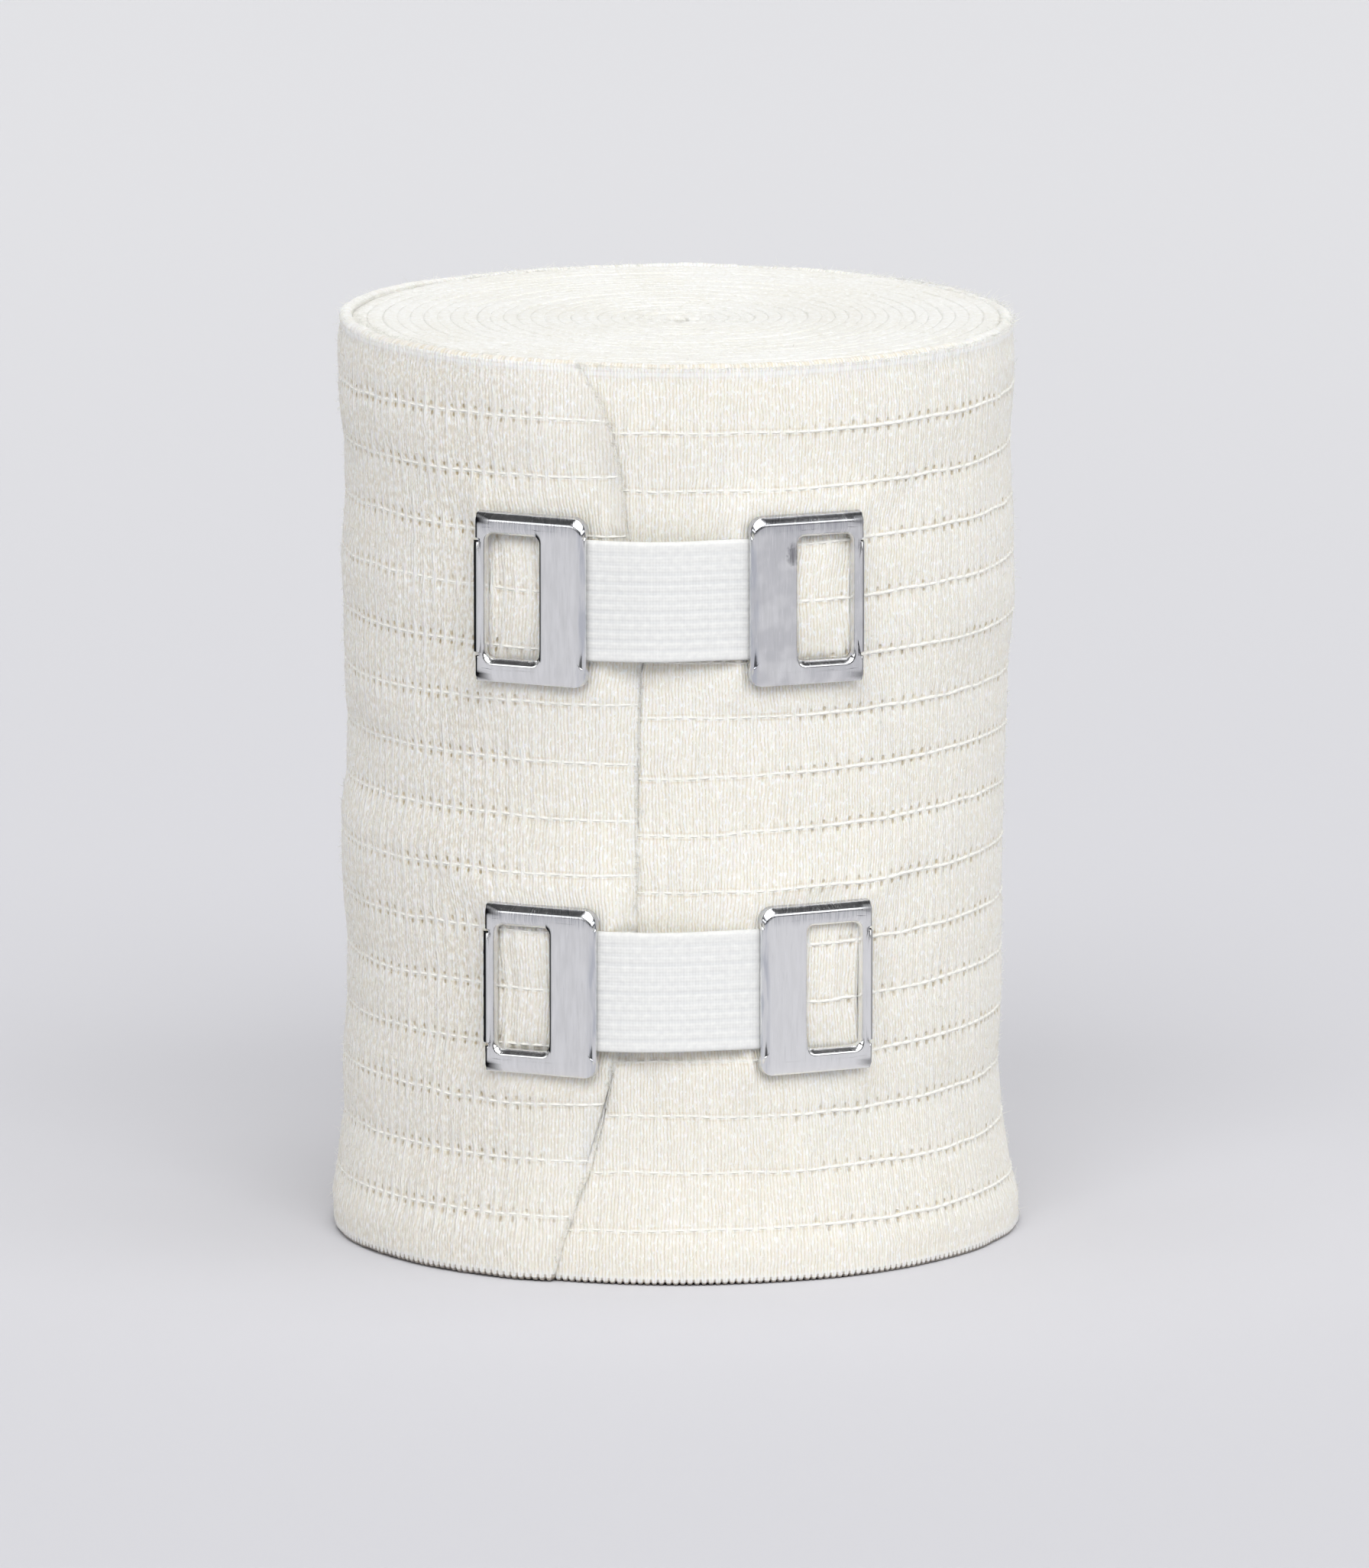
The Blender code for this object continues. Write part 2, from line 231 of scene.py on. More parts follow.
def clip_relief(phi, z):
    """How far the cloth stands out or is pressed in around the clips."""
    out = np.zeros(np.broadcast(phi, z).shape)
    for zc, pc, sign in plate_frames():
        s = (phi - pc) * ARC * sign  # across, growing from the tooth side to the elastic
        up = z - zc
        near = (np.abs(s) < 22) & (np.abs(up) < 24)
        if not near.any():
            continue
        # Under the plate the cloth is pressed flat, level with the plate.
        inside_s = step(8.6, 6.0, np.abs(s))
        inside_z = step(11.6, 8.6, np.abs(up))
        flat = s * s / (2 * 36.4) * inside_s * inside_z
        # It swells into the window, and out around the plate's rims.
        ws = (s + PLATE_W / 2 - WINDOW_EDGE - WINDOW_W / 2) / (WINDOW_W / 2)
        wz = (up - WINDOW_LIFT) / (WINDOW_H / 2)
        window = np.clip(1 - np.abs(ws) ** 2.6, 0, 1) ** 0.7 * np.clip(1 - np.abs(wz) ** 4, 0, 1) ** 0.7
        ds = np.maximum(np.abs(s) - PLATE_W / 2, 0)
        dz = np.maximum(np.abs(up) - PLATE_H / 2, 0)
        away = np.sqrt(ds * ds + dz * dz)
        beyond = (away > 0) * np.exp(-(((away - 1.5) / 1.6) ** 2))
        # No swelling on the elastic's side, where the band holds it down.
        band = step(5.5, 7.5, s) * step(8.4, 7.2, np.abs(up))
        press = np.exp(-((np.abs(up) - 8.9) / 0.8) ** 2) * (np.abs(s) < 6.6) * 0.12
        # Soft folds run outwards and away from both ends of the toothed tab.
        beside = np.maximum(-s - PLATE_W / 2, 0.0)
        fading = (s < -PLATE_W / 2 + 0.5) * np.exp(-((beside / 8.0) ** 2)) * step(0.0, 2.0, beside)
        fold = np.exp(-(((np.abs(up) - 5.5 - 0.55 * beside) / 1.5) ** 2))
        ridge = np.exp(-(((np.abs(up) - 8.8 - 0.60 * beside) / 1.7) ** 2))
        near_up = np.where(up > 0, 1.0, 0.7)
        out += near * near_up * fading * (0.26 * ridge - 0.34 * fold)
        out += near * (flat + 0.78 * window + 0.42 * beyond * (1 - band) - press)
    for clip in CLIPS:
        # The cloth just above and below the elastic is pushed out a little.
        mid = (clip["left"] + clip["right"]) / 2
        half = (clip["right"] - clip["left"]) / 2 * ARC - PLATE_W / 2
        s = (phi - mid) * ARC
        up = np.abs(z - clip["z"])
        over = step(half + 1.5, half - 1.0, np.abs(s))
        out += over * (0.25 * np.exp(-(((up - 8.2) / 1.5) ** 2)) - 0.15 * step(7.4, 6.2, up))
    return out


def clip_pull(phi, z):
    """How far the teeth pull the cloth sideways, towards each clip's middle."""
    out = np.zeros(np.broadcast(phi, z).shape)
    for clip in CLIPS:
        left = clip["left"] * ARC - PLATE_W / 2
        right = clip["right"] * ARC + PLATE_W / 2
        s = phi * ARC
        inside = np.cos(math.pi * np.clip((s - left) / (right - left), 0, 1))
        share = np.where(s < left, np.exp(-(left - s) / 12.0), np.where(s > right, -np.exp(-(s - right) / 12.0), inside))
        out += 1.6 * share * np.exp(-((np.abs(z - clip["z"]) / 9.5) ** 2.4))
    return out


# ---- The cloth's outer surface ---------------------------------------------


def hole_strength(total, k):
    """How open the gaps beside a lengthwise thread are."""
    phi = (total + 180.0) % 360.0 - 180.0
    index = np.round(-total / RIB_DEG / 2.0)
    pick = noise(index * 1.37 + 0.5, k * 3.1 + 0.5, 11) * 0.5 + 0.5
    patch = noise(total * ARC / 14.0, k * 0.9 + 40, 12) * 0.5 + 0.5
    outer_layer = total > -200
    centre = np.where(outer_layer, step(-16, -40, phi), step(14, 34, phi))
    centre = np.where(np.abs(phi) > 95, 0.8, centre)
    calm = np.ones_like(phi)
    for clip in CLIPS:
        level = np.abs(LINE_FIRST + LINE_STEP * k + 1.0 - clip["z"]) < 9.0
        calm = np.where(level & (phi > clip["left"] - 9) & (phi < clip["right"] + 9), 0.45, calm)
    return np.clip((0.35 + 0.65 * pick) * (0.25 + 0.75 * patch) * (0.30 + 0.85 * centre) * 1.35 * calm, 0, 1)


def fuzziness(total):
    """Where the cloth is fluffy, 1, or drawn smooth, 0: it differs round the roll."""
    phi = (total + 180.0) % 360.0 - 180.0
    outer_layer = total > -200
    left = np.where(outer_layer, step(-14, -42, phi), 0.0)
    right = np.where(outer_layer, 0.0, 0.35 * step(20, 60, phi))
    base = np.where(np.abs(phi) > 90, 0.55 + 0.3 * noise(total * ARC / 25.0, 3.3, 13), left + right)
    return np.clip(base, 0.0, 1.0)


def drawn_in(phi, turns):
    """How deeply the lengthwise threads draw the cloth in: least in front."""
    return 0.35 + 0.65 * np.where(turns < 0.5, step(-14, -40, phi), step(18, 45, phi) + step(-90, -120, phi))


def row_shift(turns, v):
    """How far the cloth's rows lie above their height along the cloth."""
    rise = np.interp(turns, CREEP[:, 0], CREEP[:, 1]) * (0.2 + 0.8 * step(2.0, 60.0, v))
    middle = 1.5 * (1.0 - np.clip(turns, 0.0, 1.0))
    share = step(0.0, 5.5, v) * step(WIDTH, WIDTH - 5.5, v)
    # In front the outer turn's upper edge stands a little over the rest.
    phi = (END_PHI - turns * 360.0 + 180.0) % 360.0 - 180.0
    proud = 0.35 * step(-70, -10, phi) * step(95, 40, phi) * step(90.0, 99.0, v) * (turns > 0.5)
    proud = proud + 0.10 * step(-70, -10, phi) * step(90.0, 99.0, v) * (turns <= 0.5)
    return rise + proud + (middle - rise) * share


def slow_relief(total, z, close):
    """Slow unevenness; close to the cut it copies the turn underneath."""
    at = total * ARC
    own = 0.15 * noise(at / 11.0, z / 9.0, 25) + 0.07 * noise(at / 4.2, z / 4.6, 26)
    at = (total - 360.0) * ARC
    below = 0.15 * noise(at / 11.0, z / 9.0, 25) + 0.07 * noise(at / 4.2, z / 4.6, 26)
    return own * (1 - close) + below * close


def surface(total, v, out=0.0, weave=1.0):
    """A point of the outer turn: total angle back along the strip, height
    along the cloth, and a distance outwards. Returns radius, angle, height."""
    total, v = np.broadcast_arrays(np.asarray(total, float), np.asarray(v, float))
    turns = turns_at(total)
    phi = (total + 180.0) % 360.0 - 180.0
    along = total * ARC
    rib = -total / RIB_DEG
    line = (v - LINE_FIRST) / LINE_STEP
    k = np.round(line)
    off = (line - k) * LINE_STEP
    ends = step(0.0, 4.0, v) * step(WIDTH, WIDTH - 4.0, v)

    z = v + row_shift(turns, v)
    z = z + ends * (0.30 * noise(along / 21.0, line * 0.9, 21) + 0.10 * noise(along / 3.4, line * 2.0, 22))

    # Ribs. At a lengthwise thread they part in pairs, strand and gap in turn.
    tied = np.exp(-((off / 1.1) ** 2)) * ends
    wander = 1 + 0.45 * noise(rib * 0.93, line * 1.7, 23)
    relief = -wander * (0.055 * (1 - tied) * np.cos(2 * math.pi * rib) + 0.085 * tied * np.cos(math.pi * rib))
    relief += 0.035 * noise(np.floor(rib + 0.5) * 0.91, line * 2.6, 24)
    # The cloth puffs between the threads and is drawn in at them.
    drawn = drawn_in(phi, turns)
    relief += ends * (0.055 * (1 - 2 * np.cos(math.pi * (line - k)) ** 2 + 0.4) - 0.07 * np.exp(-((off / 0.75) ** 2))) * drawn
    even = np.abs(rib / 2 - np.round(rib / 2)) < 0.1
    pit = even & (np.abs(np.abs(off) - 0.55) < 0.1)
    relief -= np.where(pit, 0.07 * hole_strength(total, k), 0.0)
    # The selvedge: a plump band with a crease under it.
    relief += 0.05 * np.exp(-(((v - 99.2) / 0.5) ** 2)) - 0.06 * np.exp(-(((v - 98.3) / 0.45) ** 2))
    relief += 0.08 * np.exp(-(((v - 0.4) / 0.5) ** 2)) - 0.08 * np.exp(-(((v - 1.7) / 0.5) ** 2))
    relief += -0.10 * np.cos(2 * math.pi * rib) * np.exp(-((v / 0.8) ** 2))
    # Slow unevenness of a hand-wound roll.
    from_edge = (edge_at(v) - total) * ARC
    loose = (total > -90)
    close = loose * np.exp(-((from_edge / 7.0) ** 2))
    relief *= 1 - 0.7 * close
    relief += slow_relief(total, z, close)

    radius = outer_wall(turns, phi, z) + relief * weave + clip_relief(phi, z) + out

    # The loose end is thinner at its cut, and lifts a little high up and low down.
    thin = np.interp(v, [0, 12, 30, 45, 70, 84, 95, 99.9], [0.75, 1.05, 1.30, 1.36, 1.34, 1.20, 1.05, 1.00])
    lift = np.interp(v, [0, 8, 16, 26, 78, 86, 91, 96, 99.9], [0.02, 0.03, 0.0, 0.0, 0.0, 0.14, 0.22, 0.14, 0.02])
    radius = radius + loose * (lift * np.exp(-((from_edge / 4.5) ** 2)) - thin * np.exp(-np.abs(from_edge) / 3.0))

    sway = ends * (0.14 * noise(rib * 0.42, v / 2.6, 27) + 0.16 * noise(along / 7.0, v / 8.0, 28)) + clip_pull(phi, z)
    return radius, total + sway / ARC, z


# ---- Materials -------------------------------------------------------------


class Nodes:
    """Shorthand for building a material's nodes."""

    def __init__(self, name):
        self.mat = bpy.data.materials.new(name)
        self.mat.use_nodes = True
        self.tree = self.mat.node_tree
        self.shader = self.tree.nodes["Principled BSDF"]

    def add(self, kind, **values):
        node = self.tree.nodes.new(kind)
        for key, value in values.items():
            setattr(node, key, value)
        return node

    def link(self, a, b):
        self.tree.links.new(a, b)

    def put(self, socket, value):
        if isinstance(value, (int, float, tuple)):
            socket.default_value = value
        else:
            self.link(value, socket)

    def math(self, operation, a, b=0.0, c=0.0, clamp=False):
        node = self.add("ShaderNodeMath", operation=operation, use_clamp=clamp)
        self.put(node.inputs[0], a)
        self.put(node.inputs[1], b)
        self.put(node.inputs[2], c)
        return node.outputs[0]

    def smooth(self, value, low, high, to_low=0.0, to_high=1.0):
        node = self.add("ShaderNodeMapRange", interpolation_type="SMOOTHSTEP")
        self.put(node.inputs["Value"], value)
        for key, v in (("From Min", low), ("From Max", high), ("To Min", to_low), ("To Max", to_high)):
            self.put(node.inputs[key], v)
        return node.outputs["Result"]

    def noise(self, vector, scale, detail=2.0, roughness=0.5):
        node = self.add("ShaderNodeTexNoise")
        self.put(node.inputs["Vector"], vector)
        node.inputs["Scale"].default_value = scale
        node.inputs["Detail"].default_value = detail
        node.inputs["Roughness"].default_value = roughness
        return node.outputs["Fac"]

    def random(self, vector):
        node = self.add("ShaderNodeTexWhiteNoise", noise_dimensions="3D")
        self.put(node.inputs["Vector"], vector)
        return node.outputs["Value"]

    def vector(self, x, y, z=0.0):
        node = self.add("ShaderNodeCombineXYZ")
        self.put(node.inputs[0], x)
        self.put(node.inputs[1], y)
        self.put(node.inputs[2], z)
        return node.outputs[0]

    def mix(self, factor, a, b):
        node = self.add("ShaderNodeMix", data_type="RGBA")
        self.put(node.inputs["Factor"], factor)
        self.put(node.inputs["A"], a)
        self.put(node.inputs["B"], b)
        return node.outputs["Result"]

    def bump(self, height, strength, distance, normal=None):
        node = self.add("ShaderNodeBump")
        node.inputs["Strength"].default_value = strength
        node.inputs["Distance"].default_value = distance
        self.link(height, node.inputs["Height"])
        if normal is not None:
            self.link(normal, node.inputs["Normal"])
        return node.outputs["Normal"]


def rgb(r, g, b):
    """A colour given as screen values from 0 to 255."""
    return tuple(((c / 255.0 + 0.055) / 1.055) ** 2.4 if c > 10 else c / 255.0 / 12.92 for c in (r, g, b)) + (1.0,)


def top_material(name):
    """The wound edges: soft white fluff with hardly any weave left."""
    n = Nodes(name)
    uv = n.add("ShaderNodeUVMap", uv_map="weave")
    split = n.add("ShaderNodeSeparateXYZ")
    n.link(uv.outputs[0], split.inputs[0])
    across = n.math("MULTIPLY", split.outputs[0], 0.76)
    up = n.math("MULTIPLY", split.outputs[1], 6.21)
    where = n.add("ShaderNodeTexCoord").outputs["Object"]
    fluff = n.noise(where, 2100.0, 4.0, 0.7)
    tuft = n.noise(where, 850.0, 3.0, 0.6)
    slow = n.noise(where, 90.0, 2.0)
    rib = n.noise(n.vector(n.math("MULTIPLY", across, 2.6), n.math("MULTIPLY", up, 0.4)), 1.0, 2.0)
    colour = n.mix(n.smooth(slow, 0.35, 0.65), rgb(241, 239, 231), rgb(245, 244, 239))
    colour = n.mix(n.smooth(rib, 0.55, 0.30, 0.0, 0.30), colour, rgb(228, 222, 207))
    colour = n.mix(n.smooth(tuft, 0.50, 0.30, 0.0, 0.35), colour, rgb(226, 221, 208))
    colour = n.mix(n.smooth(fluff, 0.48, 0.66, 0.0, 0.85), colour, rgb(254, 254, 252))
    n.link(colour, n.shader.inputs["Base Color"])
    height = n.math("MULTIPLY_ADD", tuft, 1.2, fluff)
    n.link(n.bump(height, 0.8, 0.00022), n.shader.inputs["Normal"])
    n.shader.inputs["Roughness"].default_value = 0.95
    n.shader.inputs["Specular IOR Level"].default_value = 0.15
    n.shader.inputs["Sheen Weight"].default_value = 0.25
    n.shader.inputs["Sheen Roughness"].default_value = 0.5
    return n.mat


def crepe_material(name, lines=True):
    """Cream crepe: upright yarns, gaps beside the lengthwise threads, fuzz, with painted shade in the gaps."""
    n = Nodes(name)
    uv = n.add("ShaderNodeUVMap", uv_map="weave")
    split = n.add("ShaderNodeSeparateXYZ")
    n.link(uv.outputs[0], split.inputs[0])
    u, v = split.outputs[0], split.outputs[1]
    across = n.math("MULTIPLY", u, 0.76)  # millimetres
    up = n.math("MULTIPLY", v, 6.21)

    # Yarns, two to a rib, wander a little.
    drift = n.noise(n.vector(n.math("MULTIPLY", across, 0.6), n.math("MULTIPLY", up, 0.7)), 1.0, 2.0)
    yarn = n.math("ADD", n.math("MULTIPLY", u, 2.0), n.math("MULTIPLY_ADD", drift, 0.9, -0.45))
    which = n.math("FLOOR", yarn)
    frac = n.math("FRACT", yarn)
    round_ = n.math("SINE", n.math("MULTIPLY", frac, math.pi))  # 0 between yarns, 1 on them
    tone = n.noise(n.vector(n.math("MULTIPLY", which, 3.7), n.math("MULTIPLY", up, 0.8)), 1.0, 3.0, 0.6)
    broken = n.noise(n.vector(n.math("MULTIPLY", n.math("ROUND", yarn), 2.9), n.math("MULTIPLY", up, 1.1), 5.0), 1.0, 3.0, 0.6)
    fleck = n.noise(n.vector(n.math("MULTIPLY", across, 3.4), n.math("MULTIPLY", up, 1.3)), 1.0, 3.0, 0.65)
    cloud = n.noise(n.vector(n.math("MULTIPLY", across, 1.3), n.math("MULTIPLY", up, 1.0), 7.0), 1.0, 3.0, 0.6)
    slow = n.noise(n.vector(n.math("MULTIPLY", across, 0.10), n.math("MULTIPLY", up, 0.08), 3.0), 1.0, 2.0)

    colour = n.mix(n.smooth(slow, 0.35, 0.65), rgb(242, 238, 226), rgb(244, 241, 232))
    colour = n.mix(n.smooth(tone, 0.30, 0.70, 0.0, 0.75), colour, rgb(250, 248, 242))
    # Painted shade in the narrow gaps between yarns, warm tan, less where the cloth is fluffy.
    painted_gap_shade = n.math("MULTIPLY", n.smooth(round_, 0.62, 0.10), n.smooth(broken, 0.28, 0.56))
    if lines:
        fluff = n.add("ShaderNodeAttribute", attribute_name="fluff").outputs["Fac"]
        painted_gap_shade = n.math("MULTIPLY", painted_gap_shade, n.math("MULTIPLY_ADD", fluff, -0.62, 0.95))
    colour = n.mix(n.math("MULTIPLY", painted_gap_shade, 0.85), colour, rgb(230, 219, 192))
    colour = n.mix(n.smooth(cloud, 0.50, 0.30, 0.0, 0.30), colour, rgb(232, 226, 210))
    if lines:
        # Fluffy parts are greyer between the flecks.
        colour = n.mix(n.math("MULTIPLY", fluff, n.smooth(fleck, 0.55, 0.38, 0.02, 0.70)), colour, rgb(221, 213, 196))
    colour = n.mix(n.smooth(fleck, 0.53, 0.63, 0.0, 0.95), colour, rgb(255, 255, 252))

    loft = n.math("MULTIPLY_ADD", fluff, 0.7, 0.3) if lines else 1.0
    height = n.math("MULTIPLY_ADD", round_, 0.42, n.math("MULTIPLY", n.math("MULTIPLY", fleck, 0.45), loft))
    height = n.math("MULTIPLY_ADD", n.math("MULTIPLY", cloud, 0.60), loft, height)
    if lines:
        attribute = n.add("ShaderNodeAttribute", attribute_name="hole")
        strength = attribute.outputs["Fac"]
        row = n.math("ROUND", v)
        off = n.math("MULTIPLY", n.math("SUBTRACT", v, row), 6.21)
        from_line = n.math("ABSOLUTE", off)
        pair = n.math("ROUND", n.math("MULTIPLY", u, 0.5))
        side = n.math("SIGN", off)
        jitter = n.random(n.vector(pair, row, side))
        beside = n.math("SUBTRACT", n.math("MULTIPLY", u, 0.76), n.math("MULTIPLY", pair, 1.52))
        beside = n.math("ADD", beside, n.math("MULTIPLY_ADD", jitter, 0.24, -0.12))
        tall = n.random(n.vector(pair, row, n.math("ADD", side, 7.0)))
        centre = n.math("MULTIPLY_ADD", tall, 0.12, 0.42)
        dx = n.math("DIVIDE", beside, 0.21)
        dy = n.math("DIVIDE", n.math("SUBTRACT", from_line, centre), n.math("MULTIPLY_ADD", tall, 0.16, 0.20))
        reach = n.math("SQRT", n.math("ADD", n.math("MULTIPLY", dx, dx), n.math("MULTIPLY", dy, dy)))
        depth = n.math("MULTIPLY", n.smooth(strength, 0.05, 0.70), n.math("MULTIPLY_ADD", jitter, 0.6, 0.55))
        hole = n.math("MULTIPLY", n.smooth(reach, 1.15, 0.35), depth, clamp=True)
        # Single pale strands cross the thread between the gaps.
        odd = n.math("ROUND", n.math("SUBTRACT", n.math("MULTIPLY", u, 0.5), 0.5))
        odd_u = n.math("MULTIPLY_ADD", odd, 1.52, 0.76)
        bow = n.noise(n.vector(n.math("MULTIPLY", odd, 2.3), n.math("MULTIPLY", up, 0.45), 4.0), 1.0, 2.0)
        from_strand = n.math("ABSOLUTE", n.math("ADD", n.math("SUBTRACT", across, odd_u), n.math("MULTIPLY_ADD", bow, 0.5, -0.25)))
        long_ = n.math("MULTIPLY_ADD", n.random(n.vector(odd, row, 5.0)), 1.9, 1.0)
        strand = n.math("MULTIPLY", n.smooth(from_strand, 0.20, 0.08), n.smooth(n.math("SUBTRACT", from_line, long_), 0.6, -0.4))
        strand = n.math("MULTIPLY", strand, n.math("MULTIPLY_ADD", fluff, 0.85, 0.15))
        # A thin shade runs along each side of the pale thread.
        shade = n.math("MULTIPLY", n.smooth(n.math("ABSOLUTE", n.math("SUBTRACT", from_line, 0.34)), 0.16, 0.03),
                       n.smooth(n.noise(n.vector(n.math("MULTIPLY", across, 0.9), n.math("MULTIPLY", row, 5.3)), 1.0, 2.0), 0.35, 0.65, 0.0, 0.40))
        colour = n.mix(shade, colour, rgb(222, 208, 182))
        colour = n.mix(n.math("MULTIPLY", n.smooth(from_line, 0.24, 0.12), 0.75), colour, rgb(252, 250, 242))
        # Painted shade, warm brown, in the gaps beside the thread.
        colour = n.mix(n.math("MULTIPLY", hole, n.math("MULTIPLY_ADD", fluff, 0.45, 0.55)), colour, rgb(182, 162, 118))
        colour = n.mix(strand, colour, rgb(255, 253, 246))
        # The selvedges are whiter, knitted in small beads.
        rim = n.math("MAXIMUM", n.smooth(v, -0.72, -0.82), n.smooth(v, 14.90, 14.95, 0.0, 0.6))
        colour = n.mix(n.math("MULTIPLY", rim, 0.7), colour, rgb(248, 249, 249))
        # Beads below, with shaded gaps; tan dots of painted shade along the upper edge.
        gap_u = n.math("ABSOLUTE", n.math("SUBTRACT", n.math("FRACT", n.math("ADD", u, 0.5)), 0.5))
        bead = n.math("MULTIPLY", n.smooth(gap_u, 0.24, 0.08), n.smooth(v, -0.78, -0.86))
        colour = n.mix(n.math("MULTIPLY", bead, 0.65), colour, rgb(150, 134, 112))
        painted_edge_dots = n.noise(n.vector(n.math("MULTIPLY", u, 1.1), 3.0), 1.0, 2.0)
        painted_edge_dots = n.math("MULTIPLY", n.smooth(painted_edge_dots, 0.40, 0.60, 0.25, 1.0), n.smooth(v, 15.172, 15.182))
        painted_edge_dots = n.math("MULTIPLY", painted_edge_dots, n.math("ADD", n.smooth(u, 240.0, 268.0), n.smooth(u, 62.0, 40.0)))
        colour = n.mix(n.math("MULTIPLY", painted_edge_dots, 0.50), colour, rgb(224, 208, 174))
        # Close to the cut end the cloth is thin, and painted shade greys it, most where the end lifts.
        end_shade = n.add("ShaderNodeAttribute", attribute_name="end_shade").outputs["Fac"]
        colour = n.mix(n.math("MULTIPLY", end_shade, 0.55), colour, rgb(214, 211, 205))
        height = n.math("SUBTRACT", height, n.math("MULTIPLY", hole, 0.8))
        height = n.math("MULTIPLY_ADD", strand, 0.6, height)
    # A little greyer low down, and shaded brown right under the lower edge.
    colour = n.mix(n.smooth(v, 8.0, -0.5, 0.0, 0.20), colour, rgb(226, 220, 207))
    colour = n.mix(n.smooth(v, -0.925, -0.945, 0.0, 0.75), colour, rgb(110, 92, 72))
    n.link(colour, n.shader.inputs["Base Color"])
    fine = n.noise(n.vector(n.math("MULTIPLY", across, 9.0), n.math("MULTIPLY", up, 6.0), 3.0), 1.0, 3.0, 0.7)
    normal = n.bump(height, 0.75, 0.00024)
    normal = n.bump(fine, 0.30, 0.00010, normal)
    n.link(normal, n.shader.inputs["Normal"])
    n.shader.inputs["Roughness"].default_value = 0.92
    n.shader.inputs["Specular IOR Level"].default_value = 0.2
    n.shader.inputs["Sheen Weight"].default_value = 0.35
    n.shader.inputs["Sheen Roughness"].default_value = 0.5
    n.shader.inputs["Subsurface Weight"].default_value = 0.30
    n.shader.inputs["Subsurface Radius"].default_value = (1.0, 0.82, 0.52)
    n.shader.inputs["Subsurface Scale"].default_value = 0.0006
    return n.mat


def plain_thread(name, colour):
    """A spun cotton strand, with a little change of tone along it."""
    n = Nodes(name)
    where = n.add("ShaderNodeTexCoord").outputs["Object"]
    patch = n.noise(where, 2600.0, 2.0)
    n.link(n.mix(n.smooth(patch, 0.3, 0.7), rgb(*[c - 14 for c in colour]), rgb(*colour)), n.shader.inputs["Base Color"])
    n.link(n.bump(n.noise(where, 9000.0, 1.0), 0.3, 0.00003), n.shader.inputs["Normal"])
    n.shader.inputs["Roughness"].default_value = 0.9
    n.shader.inputs["Specular IOR Level"].default_value = 0.2
    return n.mat


def elastic_material():
    """Cool white knitted elastic: the ribs are modelled, the stitches are bump."""
    n = Nodes("white_elastic")
    uv = n.add("ShaderNodeUVMap", uv_map="weave")
    split = n.add("ShaderNodeSeparateXYZ")
    n.link(uv.outputs[0], split.inputs[0])
    u, v = split.outputs[0], split.outputs[1]  # millimetres along and up
    column = n.math("MULTIPLY", n.math("SINE", n.math("MULTIPLY", u, 2 * math.pi / 0.32)), 0.35)
    course = n.math("SINE", n.math("MULTIPLY", v, 2 * math.pi / 0.35))
    stitch = n.math("MULTIPLY_ADD", course, 0.35, column)
    patch = n.noise(n.vector(n.math("MULTIPLY", u, 1.5), n.math("MULTIPLY", v, 1.5)), 1.0, 3.0, 0.6)
    groove = n.add("ShaderNodeAttribute", attribute_name="groove").outputs["Fac"]
    colour = n.mix(n.smooth(patch, 0.3, 0.7), rgb(227, 227, 225), rgb(235, 235, 232))
    # Painted shade in the grooves between the ribs.
    colour = n.mix(n.math("MULTIPLY", groove, 0.40), colour, rgb(206, 209, 211))
    colour = n.mix(n.smooth(stitch, 0.2, -1.2, 0.0, 0.10), colour, rgb(208, 213, 217))
    n.link(colour, n.shader.inputs["Base Color"])
    n.link(n.bump(n.math("MULTIPLY_ADD", patch, 0.8, stitch), 0.25, 0.00005), n.shader.inputs["Normal"])
    n.shader.inputs["Roughness"].default_value = 0.75
    n.shader.inputs["Specular IOR Level"].default_value = 0.3
    n.shader.inputs["Sheen Weight"].default_value = 0.1
    return n.mat


